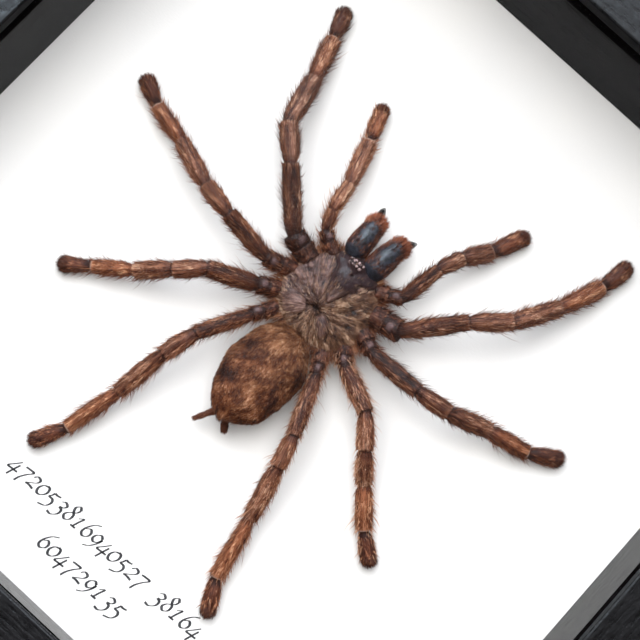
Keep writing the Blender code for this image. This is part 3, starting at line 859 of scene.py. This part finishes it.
def carapace_marks(u, v, points):
    x, y = points[:, 0], points[:, 1]
    # Painted shade and light: the relief against its surroundings darkens the hollows and lightens the
    # crests.
    near = [carapace_relief(x + a, y + b) for a, b in ((0.7, 0), (-0.7, 0), (0, 0.7), (0, -0.7))]
    relief_shading = np.clip(carapace_relief(x, y) - sum(near) / 4, -0.4, 0.4)
    mottle = 0.6 * (noise(points, 2.4, 9) - 0.5) + 0.4 * (noise(points, 0.9, 10) - 0.5)
    rim = bell(v - CARAPACE_RIM_V, 0.10)
    tan = tan_mask(x, y)
    rear_lobe = np.clip(1.2 - lobe_distance(x, y, *LOBES[1]), 0, 1) * lobes(x, y)
    tone = 0.43 + relief_shading * 0.65 + mottle * 0.5 + 0.10 * lobes(x, y) - 0.16 * rear_lobe
    # Painted shade in the sunken pit; the muscle scars are the thorax's own dark colour.
    tone = tone - 0.4 * bell(pit_polar(x, y)[0], 1.6) - 0.35 * dark_spots(x, y)
    tone = tone - 0.13 * rim - 0.14 * tan
    warm = np.clip(tan * 0.7 * (1 - lobes(x, y)) + rim * 0.8 + 0.1, 0, 1)
    # Painted shade: the pin hole is painted dark; the eye hill's dark is its own colour.
    dark = spot(x, y, *HEAD_HOLE, 0.5, 0.5) + spot(x, y, *EYE_HILL, 2.3, 1.6, power=4)
    dark = np.clip(dark, 0, 1)
    head = caput_mask(x, y) * np.clip((y - 6) / 5, 0, 1)
    return {"tone": tone - 0.6 * dark, "warm": warm,
            "bare": np.clip(head * 1.1 - dark, 0, 1), "pale": v * 0}


def build_carapace(skin_look, hair_look):
    skin = add_skin("carapace_skin", carapace_point, 260, 130, carapace_marks, skin_look,
                    carapace_flow)
    rng = np.random.default_rng(21)
    u = rng.random(CARAPACE_HAIRS)
    v = 0.12 + 0.88 * rng.random(CARAPACE_HAIRS) ** 0.62
    roots, normals, _ = surface_frame(carapace_point, u, v)
    x, y = roots[:, 0], roots[:, 1]
    flows = square_to(roots * [1, 1, 0] - [*FOVEA, 0], normals)
    swirl = (noise(roots, 2.2, 35) - 0.5) * 1.3
    flows = unit(flows + np.cross(normals, flows) * swirl[:, None])
    rim = bell(v - 0.28, 0.12)
    tan = tan_mask(x, y)
    rear = np.clip((1.5 - y) / 3, 0, 1)
    patchy = np.clip(noise(roots, 1.7, 31) * 2.2 - 0.25, 0, 1)
    cover = tan * 0.75 * patchy + rim * 0.95 + 0.08 * (1 - caput_mask(x, y)) + 0.015 + 0.4 * rear
    cover = cover * (1 - 0.93 * np.clip(lobes(x, y), 0, 1)) - 0.7 * dark_spots(x, y)
    keep = rng.random(CARAPACE_HAIRS) < np.clip(cover, 0, 1)
    kept = [values[keep] for values in (roots, normals, flows, rim, tan, rear, u, v)]
    roots, normals, flows, rim, tan, rear, u, v = kept
    count = len(roots)
    clumps = noise(carapace_flow(u, v) * [1, 1, 0.2], 0.35, 33) - 0.5
    tones = 0.46 + clumps * 0.95 - 0.08 * rim + 0.10 * rear + rng.normal(0, 0.12, count)
    warms = 0.05 + 0.12 * tan + 0.85 * rim * (1 - rear) + rng.normal(0, 0.12, count)
    lengths = rng.uniform(0.8, 1.7, count) * (1 + 0.75 * rim)
    widths = rng.uniform(0.08, 0.13, count)
    leans = np.abs(rng.normal(0.2, 0.12, count) + rim * rng.uniform(-0.1, 0.5, count))
    hair = add_hair("carapace_hair", roots, normals, flows, lengths, widths, leans.clip(0.02, 0.9),
                    tones, np.clip(warms, 0, 1), hair_look, 41)
    finish_part(skin, "carapace", "carapace", hair, build_skirt(hair_look))


def build_skirt(look):
    """Long rusty hairs that hang over the leg bases all round the carapace's edge."""
    rng = np.random.default_rng(45)
    count = SKIRT_HAIRS
    u = rng.random(count)
    v = rng.uniform(0.12, 0.36, count)
    roots, normals, _ = surface_frame(carapace_point, u, v)
    outward = roots * [1, 1, 0] - [*CARAPACE_CENTRE, 0.9]
    flows = unit(outward + rng.normal(0, 1.6, (count, 3)) * [1, 1, 0])
    clumps = noise(roots, 0.9, 46) - 0.5
    front = np.clip((roots[:, 1] - 17) / 3, 0, 1)
    lengths = rng.uniform(1.3, 4.4, count) * (1 - 0.45 * front)
    widths = rng.uniform(0.10, 0.17, count)
    tones = 0.38 + clumps * 0.8 + rng.normal(0, 0.13, count) - 0.14 * front
    warms = rng.uniform(0.45, 1.0, count)
    leans = rng.uniform(0.0, 0.5, count)
    return add_hair("carapace_skirt", roots, normals, flows, lengths, widths, leans, tones, warms,
                    look, 47)


def carapace_height(x, y):
    """The height of the carapace's top at a place."""
    u, v = grid(360, 200)
    points = carapace_point(u, 0.35 + 0.65 * v)
    return points[np.argmin((points[:, 0] - x) ** 2 + (points[:, 1] - y) ** 2), 2]


def build_eyes(look):
    """Eight glossy eyes on the hill: a front row of four and a smaller row behind."""
    around, along = 16, 10
    u, v = grid(around, along)
    angle = 2 * np.pi * u
    tilt = np.pi / 2 * v * 0.98
    flat = np.cos(tilt)
    dome = np.stack([np.cos(angle) * flat, np.sin(angle) * flat * 0.9, np.sin(tilt)], 1)
    points, quads = [], []
    for dx, dy, radius in EYES:
        x, y = EYE_HILL[0] + dx, EYE_HILL[1] + dy
        quads.append(grid_faces(around, along) + len(points) * len(dome))
        points.append(dome * radius + [x, y, carapace_height(x, y) - radius * 0.2])
    eyes = make_mesh("carapace_eyes", np.concatenate(points), np.concatenate(quads), look)


def abdomen_point(u, v):
    """v runs from the waist to the spinnerets."""
    angle = 2 * np.pi * u
    ahead = np.cos(np.pi * v)
    around = np.sin(np.pi * v) ** 0.92 * (1 + 0.06 * ahead)
    flat = np.where(np.sin(angle) < 0, 0.9, 1.0)
    ball = np.stack([0.985 * around * np.cos(angle), ahead, around * np.sin(angle) * flat], 1)
    points = ball * ABDOMEN_HALF_SIZE + ABDOMEN_CENTRE
    dents = 0.9 * (noise(points, 5.0, 51) - 0.5) + 0.35 * (noise(points, 1.8, 52) - 0.5)
    dents = dents + 0.16 * (noise(points, 0.6, 53) - 0.5)
    return points + unit(points - ABDOMEN_CENTRE) * dents[:, None]


def abdomen_flow(u, v):
    angle = 2 * np.pi * u
    return np.stack([np.cos(angle) * 8, np.sin(angle) * 8, v * 29], 1)


def abdomen_tone(points):
    """Tawny with darker patches on the flanks and the rear, and a pale front edge."""
    x, y = points[:, 0] - ABDOMEN_CENTRE[0], points[:, 1] - ABDOMEN_CENTRE[1]
    mottle = (noise(points, 3.2, 61) - 0.5) * 0.36 + (noise(points, 1.3, 62) - 0.5) * 0.5
    left = spot(x, y, -6.6, 2.0, 2.6, 3.0) + spot(x, y, -6.4, -6.0, 2.8, 3.2)
    right = spot(x, y, 8.6, 6.0, 2.8, 2.6) + spot(x, y, 7.4, -4.0, 2.6, 4.0)
    front = spot(x, y, -3.0, 10.5, 6.0, 3.0)
    return 0.50 + mottle - 0.44 * left - 0.40 * right - 0.16 * bell(y + 12.5, 3.4) + 0.10 * front


def abdomen_warmth(points):
    """Rusty behind, paler and greyer at the waist."""
    ahead = points[:, 1] - ABDOMEN_CENTRE[1]
    return np.clip(0.48 - ahead / 26 + (noise(points, 3.0, 63) - 0.5) * 0.5, 0, 1)


def abdomen_marks(u, v, points):
    return {"tone": abdomen_tone(points) - 0.1, "warm": abdomen_warmth(points),
            "bare": u * 0, "pale": u * 0}


def build_abdomen(skin_look, hair_look):
    skin = add_skin("abdomen_skin", abdomen_point, 120, 100, abdomen_marks, skin_look, abdomen_flow)
    rng = np.random.default_rng(71)
    count = ABDOMEN_HAIRS
    u = rng.random(count)
    v = np.clip(np.arccos(1 - 2 * rng.random(count)) / np.pi, 0.01, 0.985)
    roots, normals, along = surface_frame(abdomen_point, u, v)
    flows = square_to(along, normals)
    swirl = (noise(roots, 4.0, 72) - 0.5) * 1.2
    flows = unit(flows + np.cross(normals, flows) * swirl[:, None])
    near_end = np.clip((v - 0.82) / 0.15, 0, 1)
    lengths = rng.uniform(0.7, 1.5, count) * (1 + near_end * 1.2)
    widths = rng.uniform(0.08, 0.15, count)
    leans = (rng.normal(0.34, 0.18, count) + 0.2 * near_end).clip(0.03, 1.1)
    clumps = noise(roots, 0.45, 73) - 0.5
    tones = abdomen_tone(roots) + clumps * 0.7 + rng.normal(0, 0.11, count)
    warms = np.clip(abdomen_warmth(roots) + rng.normal(0, 0.12, count), 0, 1)
    hair = add_hair("abdomen_hair", roots, normals, flows, lengths, widths, leans, tones, warms,
                    hair_look, 74)
    finish_part(skin, "abdomen", "abdomen", hair)


class Taper:
    """A tapering round part through rows of x, y, z and width, with a base that sinks in."""

    def __init__(self, rows, tall=1.0, rough=0.0, closed=2.4):
        rows = np.array(rows, float)
        self.at = np.linspace(0, 1, 200)
        even = read(rows, np.linspace(0, 1, len(rows)), self.at)
        self.table = np.stack([smoothed(column, 31) for column in even.T], 1)
        self.ahead = unit(np.gradient(self.table[:, :3], axis=0))
        self.tall = tall
        self.rough = rough
        self.closed = closed

    def heading(self, v):
        return unit(read(self.ahead, self.at, v))

    def point(self, u, v):
        angle = 2 * np.pi * u
        row = read(self.table, self.at, v)
        ahead = self.heading(v)
        side = unit(np.cross([0, 0, 1], ahead))
        up = np.cross(ahead, side) * self.tall
        end = np.maximum((1 - np.clip((v - 0.88) / 0.12, 0, 1) ** self.closed) ** 0.5, 0.03)
        end = end * (1 - 0.38 * np.clip(1 - v / 0.16, 0, 1) ** 1.6)
        radius = (row[:, 3] / 2 * end)[:, None]
        outward = side * np.cos(angle)[:, None] + up * np.sin(angle)[:, None]
        points = row[:, :3] + outward * radius
        return points + unit(outward) * ((noise(points, 0.8, 81) - 0.5) * self.rough)[:, None]

    def flow(self, u, v):
        angle = 2 * np.pi * u
        return np.stack([np.cos(angle) * 3, np.sin(angle) * 3, v * 12], 1)


def plain_marks(tone):
    """Marks for a part of one tone with no bare or pale patches."""
    return lambda u, v, points: {"tone": u * 0 + tone, "warm": u * 0 + 0.5,
                                 "bare": u * 0, "pale": u * 0}


def bald_patch(u, v):
    """1 on the hairless top of a jaw."""
    off_top = turned(2 * np.pi * u - np.pi / 2)
    return np.clip(1.5 * bell(off_top, 0.62, 4) * bell(v - 0.42, 0.145, 4), 0, 1)


def jaw_hair(jaw, rng):
    """Dark hair round the bald patch and a rusty brush in front of it."""
    u = rng.random(JAW_HAIRS)
    v = 0.02 + 0.95 * rng.random(JAW_HAIRS)
    ragged = noise(jaw.flow(u, v), 1.1, 92) - 0.5
    keep = rng.random(JAW_HAIRS) > bald_patch(u, v + ragged * 0.30) * 1.02
    u, v = u[keep], v[keep]
    count = len(u)
    roots, normals, flows = hair_roots(jaw, u, v)
    front = np.clip((v - 0.56) / 0.14, 0, 1)
    tip = np.clip((v - 0.78) / 0.14, 0, 1)
    lengths = rng.uniform(0.6, 1.6, count) * (1 + 0.8 * front) * (1 - 0.75 * tip)
    widths = rng.uniform(0.09, 0.15, count)
    leans = (rng.normal(0.30, 0.2, count) + front * rng.uniform(-0.1, 0.7, count)).clip(0.02, 1.2)
    clumps = noise(roots, 0.6, 91) - 0.5
    flank = np.cos(2 * np.pi * u) ** 2
    tones = 0.12 + 0.32 * front + 0.20 * flank + clumps * 0.8 + rng.normal(0, 0.14, count)
    warms = 0.15 + 0.95 * front + 0.4 * flank + rng.normal(0, 0.12, count)
    return roots, normals, flows, lengths, widths, leans, tones, np.clip(warms, 0, 1)


def build_jaws(skin_look, hair_look, fang_look):
    for number, (node, rows) in enumerate(CHELICERAE.items()):
        jaw = Taper(rows, tall=1.15, rough=0.15)
        skin = add_skin(node + "_skin", jaw.point, 48, 60, plain_marks(0.5), skin_look, jaw.flow)
        hairs = jaw_hair(jaw, np.random.default_rng(90 + number))
        finish_part(skin, node, "jaws", add_hair(node + "_hair", *hairs, hair_look, 95 + number))
    for node, rows in FANGS.items():
        fang = Taper([(x, y, z + 0.5, width * 1.15 + 0.25) for x, y, z, width in rows], closed=1.5)
        skin = add_skin(node + "_skin", fang.point, 20, 40, plain_marks(0.5), fang_look, fang.flow)
        finish_part(skin, node, "fangs")


def build_spinnerets(skin_look, hair_look):
    for number, (node, rows) in enumerate(SPINNERETS.items()):
        part = Taper(rows, rough=0.12)
        tone = 0.26 - 0.14 * number
        marks = plain_marks(tone)
        skin = add_skin(node + "_skin", part.point, 24, 40, marks, skin_look, part.flow)
        rng = np.random.default_rng(400 + number)
        count = SPINNERET_HAIRS
        u = rng.random(count)
        roots = hair_roots(part, u, 0.98 * rng.random(count))
        lengths = rng.uniform(0.4, 1.0, count)
        widths = rng.uniform(0.07, 0.12, count)
        leans = rng.normal(0.35, 0.15, count).clip(0.02, 0.9)
        tones = rng.normal(tone + 0.04, 0.14, count)
        hair = add_hair(node + "_hair", *roots, lengths, widths, leans, tones, np.full(count, 0.7),
                        hair_look, 410 + number)
        finish_part(skin, node, "hair", hair)


# Label -------------------------------------------------------------------------------------------

# Pen strokes of each digit, in heights of a small letter, with the baseline at 0.
DIGITS = {
    "0": [[(0.62, 0.98), (0.26, 0.82), (0.12, 0.40), (0.30, 0.04), (0.62, 0.10), (0.84, 0.50),
           (0.74, 0.90), (0.50, 0.99)]],
    "1": [[(0.22, 0.76), (0.52, 1.00), (0.42, 0.50), (0.34, 0.02)], [(0.14, 0.0), (0.60, 0.03)]],
    "2": [[(0.20, 0.74), (0.40, 0.99), (0.72, 0.90), (0.70, 0.60), (0.36, 0.26), (0.08, 0.02)],
          [(0.08, 0.02), (0.40, 0.06), (0.80, 0.00)]],
    "3": [[(0.26, 0.84), (0.50, 1.00), (0.78, 0.84), (0.68, 0.56), (0.40, 0.44)],
          [(0.40, 0.44), (0.70, 0.30), (0.72, -0.10), (0.40, -0.46), (0.02, -0.44)]],
    "4": [[(0.62, 1.00), (0.34, 0.56), (0.06, 0.10), (0.46, 0.10), (0.90, 0.14)],
          [(0.68, 0.70), (0.58, 0.20), (0.46, -0.50)]],
    "5": [[(0.36, 0.96), (0.30, 0.70), (0.24, 0.50), (0.56, 0.46), (0.72, 0.18), (0.56, -0.26),
           (0.04, -0.50)], [(0.36, 0.96), (0.60, 0.94), (0.88, 1.02)]],
    "6": [[(0.86, 1.56), (0.46, 1.24), (0.20, 0.70), (0.18, 0.22), (0.44, 0.00), (0.74, 0.22),
           (0.76, 0.58), (0.52, 0.80), (0.24, 0.60)]],
    "7": [[(0.14, 0.92), (0.42, 0.97), (0.86, 0.96), (0.60, 0.50), (0.38, 0.00), (0.30, -0.48)]],
    "8": [[(0.80, 1.30), (0.56, 1.52), (0.34, 1.28), (0.44, 0.96), (0.68, 0.66), (0.70, 0.24),
           (0.42, 0.00), (0.16, 0.24), (0.28, 0.60), (0.66, 0.94), (0.80, 1.30)]],
    "9": [[(0.76, 0.82), (0.50, 1.00), (0.22, 0.78), (0.18, 0.42), (0.42, 0.24), (0.70, 0.46),
           (0.80, 0.80), (0.72, 0.30), (0.46, -0.20), (0.08, -0.50)]],
}
LABEL_LINES = [("472053816940527 38164", -31.6, 34.6, -81.0), ("604729135", -12.4, 16.4, -90.5)]
LETTER_HEIGHT = 3.3
SLANT = 0.16
NIB = (0.46, 0.38)
INK_HEIGHT = 0.06


def smooth_line(corners, steps=7):
    """A Catmull-Rom curve through the corners."""
    corners = np.array(corners, float)
    before, after = 2 * corners[:1] - corners[1:2], 2 * corners[-1:] - corners[-2:-1]
    padded = np.concatenate([before, corners, after])
    points = []
    for i in range(1, len(padded) - 2):
        p0, p1, p2, p3 = padded[i - 1:i + 3]
        square, cube = 2 * p0 - 5 * p1 + 4 * p2 - p3, 3 * p1 - p0 - 3 * p2 + p3
        for t in np.linspace(0, 1, steps, endpoint=False):
            points.append(0.5 * (2 * p1 + (p2 - p0) * t + square * t ** 2 + cube * t ** 3))
    return np.array(points + [corners[-1]])


def pen_stroke(line):
    """A low slab of ink along a line, broad or fine by its direction under a slanted nib."""
    ahead = unit(np.gradient(line, axis=0))
    across = np.stack([-ahead[:, 1], ahead[:, 0]], 1)
    half = across * (np.abs(across @ np.array(NIB)) * 0.45 + 0.11)[:, None]
    rim = [np.column_stack([line + sign * half, np.full(len(line), height)])
           for sign, height in ((-1, -0.03), (1, -0.03), (1, INK_HEIGHT), (-1, INK_HEIGHT))]
    top = (len(line) - 1) * 4
    ends = [[3, 2, 1, 0], [top, top + 1, top + 2, top + 3]]
    return np.stack(rim, 1).reshape(-1, 3), np.concatenate([grid_faces(4, len(line)), ends])


def build_label(look):
    """Two centred lines of plain digits on the board."""
    points, quads, total = [], [], 0
    for text, start, end, baseline in LABEL_LINES:
        advance = (end - start) / len(text)
        for number, digit in enumerate(text):
            for corners in DIGITS.get(digit, []):
                line = smooth_line(corners) * [1.06 * LETTER_HEIGHT, LETTER_HEIGHT]
                line[:, 0] += line[:, 1] * SLANT
                stroke, faces = pen_stroke(line + [start + advance * number, baseline])
                points.append(stroke)
                quads.append(faces + total)
                total += len(stroke)
    label = make_mesh("board_digits", np.concatenate(points), np.concatenate(quads), look)
    label.data.shade_flat()


# Box ---------------------------------------------------------------------------------------------

FILLER_HALF_WIDTH = 0.147


def dress_box():
    """The finishes of the box's CAD nodes."""
    woods = {(part, axis): black_wood(f"black_wood_{part}_{axis}", axis, shine, smooth)
             for part, shine, smooth in (("rail", 0.32, 0.30), ("spacer", 0.010, 0.16))
             for axis in "XY"}
    steel = plated_steel()
    looks = {"glass_pane": clear_glass(), "mount_board": white_board(), "back_panel": hardboard(),
             "sawtooth_hanger": steel}
    for side, axis in (("top", "X"), ("bottom", "X"), ("left", "Y"), ("right", "Y")):
        looks["rail_" + side] = woods["rail", axis]
        looks["spacer_" + side] = woods["spacer", axis]
        looks["tab_" + side] = steel
    for node, look in looks.items():
        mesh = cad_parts[node].data
        mesh.materials.clear()
        mesh.materials.append(look)
    build_mitre_filler(woods["rail", "X"])


def build_mitre_filler(look):
    """Thin black slips of filler in the mitres of the rails and the spacers."""
    rail_low, rail_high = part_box("rail_bottom")
    spacer_low, spacer_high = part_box("spacer_bottom")
    pane_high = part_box("glass_pane")[1] / MM
    wall = pane_high.x + 0.6
    outer, sight, front = -rail_low.y / MM, -rail_high.y / MM, rail_high.z / MM
    sheets = [(wall, outer - 0.5, 0.4, front - 0.5),
              (sight + 0.4, wall, pane_high.z + 2.2, front - 0.5),
              (-spacer_high.y / MM + 0.3, -spacer_low.y / MM, spacer_low.z / MM, spacer_high.z / MM)]
    points, quads = [], []
    for angle in np.pi / 4 + np.arange(4) * np.pi / 2:
        ahead = np.array([np.cos(angle), np.sin(angle), 0])
        side = np.array([-np.sin(angle), np.cos(angle), 0])
        for near, far, low, high in sheets:
            k = len(points)
            for offset in (-FILLER_HALF_WIDTH, FILLER_HALF_WIDTH):
                points += [ahead * out * np.sqrt(2) + side * offset + [0, 0, z]
                           for out, z in ((near, low), (far, low), (far, high), (near, high))]
            quads += [[k + 3, k + 2, k + 1, k], [k + 4, k + 5, k + 6, k + 7]]
            quads += [*(grid_faces(4, 2) + k)]
    filler = make_mesh("mitre_filler", np.array(points) - ORIGIN / MM, quads, look)
    filler.data.shade_flat()


# Stage -------------------------------------------------------------------------------------------

def build_stage():
    bpy.ops.mesh.primitive_plane_add(size=6.0, location=(0, 0, -0.0005))
    floor = bpy.context.object
    floor.name = "floor"
    shader = Shader("pale_floor")
    colour = shader.ramp(shader.even_noise(3.0), [(0.3, (0.74, 0.74, 0.73)), (0.7, (0.78, 0.78, 0.77))])
    floor.data.materials.append(shader.finish(Base_Color=colour, Roughness=0.9))


def add_light(name, where, size, power, colour, diffuse):
    """A round lamp aimed at the board's middle, which only lights, or else only glints."""
    light = bpy.data.lights.new(name, "AREA")
    light.shape = "DISK"
    light.size = size
    light.energy = power
    light.color = colour
    item = bpy.data.objects.new(name, light)
    bpy.context.scene.collection.objects.link(item)
    item.location = Vector(place(where))
    item.rotation_euler = (item.location - Vector(ORIGIN)).to_track_quat("Z", "Y").to_euler()
    item.visible_diffuse = diffuse
    item.visible_glossy = not diffuse
    item.visible_camera = False


def build_world():
    """A soft room, brighter towards the lamp's side, behind a plain pale backdrop."""
    world = bpy.data.worlds.new("studio")
    bpy.context.scene.world = world
    world.use_nodes = True
    tree = world.node_tree
    direction = tree.nodes.new("ShaderNodeTexCoord").outputs["Generated"]
    towards_lamp = tree.nodes.new("ShaderNodeVectorMath")
    towards_lamp.operation = "DOT_PRODUCT"
    towards_lamp.inputs[1].default_value = (-0.50, 0.78, 0.38)
    tree.links.new(direction, towards_lamp.inputs[0])
    room = tree.nodes.new("ShaderNodeMapRange")
    for key, value in (("From Min", 0.40), ("From Max", 0.80), ("To Min", 0.07), ("To Max", 2.6)):
        room.inputs[key].default_value = value
    tree.links.new(towards_lamp.outputs["Value"], room.inputs["Value"])
    choice = tree.nodes.new("ShaderNodeMix")
    tree.links.new(tree.nodes.new("ShaderNodeLightPath").outputs["Is Camera Ray"], choice.inputs[0])
    tree.links.new(room.outputs["Result"], choice.inputs[2])
    choice.inputs[3].default_value = 0.85
    tree.links.new(choice.outputs[0], tree.nodes["Background"].inputs["Strength"])
    tree.nodes["Background"].inputs["Color"].default_value = (0.95, 0.98, 1.04, 1)


def build_lights():
    add_light("key", (-130, -15, 620), 0.72, 5.1, (1.0, 0.985, 0.965), diffuse=True)
    add_light("shine", (-620, 600, 1000), 0.5, 26.0, (0.66, 0.84, 1.0), diffuse=False)
    build_world()


def build_camera():
    lens = bpy.data.cameras.new("camera")
    lens.lens = CAMERA_LENS
    lens.sensor_width = 36
    lens.clip_start = 0.01
    camera = bpy.data.objects.new("camera", lens)
    bpy.context.scene.collection.objects.link(camera)
    start = Vector(place(CAMERA_PLACE))
    forward = (Vector(place(CAMERA_AIM)) - start).normalized()
    right = forward.cross(Vector(TOP_OF_VIEW)).normalized()
    turn = Matrix((right, right.cross(forward), -forward)).transposed()
    camera.matrix_world = Matrix.Translation(start) @ turn.to_4x4()
    bpy.context.scene.camera = camera


def palette(*colours, middle=(0.35, 0.7)):
    """The stops of a ramp of four colours, from dark to light."""
    return list(zip((0.0, *middle, 1.0), colours))


def build_spider():
    cool = palette((0.016, 0.006, 0.004), (0.078, 0.030, 0.019), (0.250, 0.115, 0.072),
                   (0.67, 0.44, 0.32), middle=(0.3, 0.6))
    warm = palette((0.024, 0.005, 0.002), (0.120, 0.033, 0.013), (0.34, 0.120, 0.053),
                   (0.73, 0.41, 0.23), middle=(0.3, 0.6))
    grey = palette((0.010, 0.005, 0.005), (0.057, 0.030, 0.028), (0.198, 0.117, 0.104),
                   (0.47, 0.34, 0.31))
    tan = palette((0.016, 0.007, 0.004), (0.085, 0.040, 0.023), (0.28, 0.163, 0.100),
                  (0.60, 0.44, 0.32))
    rust = palette((0.022, 0.005, 0.002), (0.120, 0.034, 0.012), (0.34, 0.130, 0.058),
                   (0.62, 0.34, 0.20))
    tawny = palette((0.016, 0.005, 0.003), (0.093, 0.032, 0.014), (0.28, 0.122, 0.056),
                    (0.56, 0.35, 0.21))
    red = palette((0.020, 0.004, 0.002), (0.125, 0.028, 0.011), (0.37, 0.108, 0.045),
                  (0.62, 0.30, 0.17))
    violet, slate = (0.15, 0.090, 0.090), (0.040, 0.022, 0.025)
    limb_hair = hair_material("limb_hair", cool, warm)
    limb_skin = skin_material("limb_skin", cool, warm, violet, 0.62)
    build_limbs(limb_skin, limb_hair)
    build_carapace(skin_material("carapace_skin", grey, tan, slate, 0.55),
                   hair_material("carapace_hair", tan, rust))
    build_abdomen(skin_material("abdomen_skin", tawny, rust, violet, 0.8),
                  hair_material("abdomen_hair", tawny, rust))
    jaw = glossy_chitin("jaw_chitin", (0.005, 0.005, 0.008), (0.030, 0.032, 0.046), 0.44)
    fang = glossy_chitin("fang_chitin", (0.004, 0.003, 0.003), (0.012, 0.010, 0.010), 0.16)
    # Painted highlights: the eyes' light pinkish patches stand in for glints.
    eye = glossy_chitin("eye_chitin_painted_glints", (0.020, 0.012, 0.012), (0.46, 0.33, 0.33), 0.06, scale=1700.0)
    build_jaws(jaw, hair_material("jaw_hair", cool, red), fang)
    build_eyes(eye)
    build_spinnerets(limb_skin, limb_hair)


build_camera()
build_lights()
build_stage()
dress_box()
build_spider()
build_label(ink())
bpy.context.scene.view_settings.view_transform = "Standard"
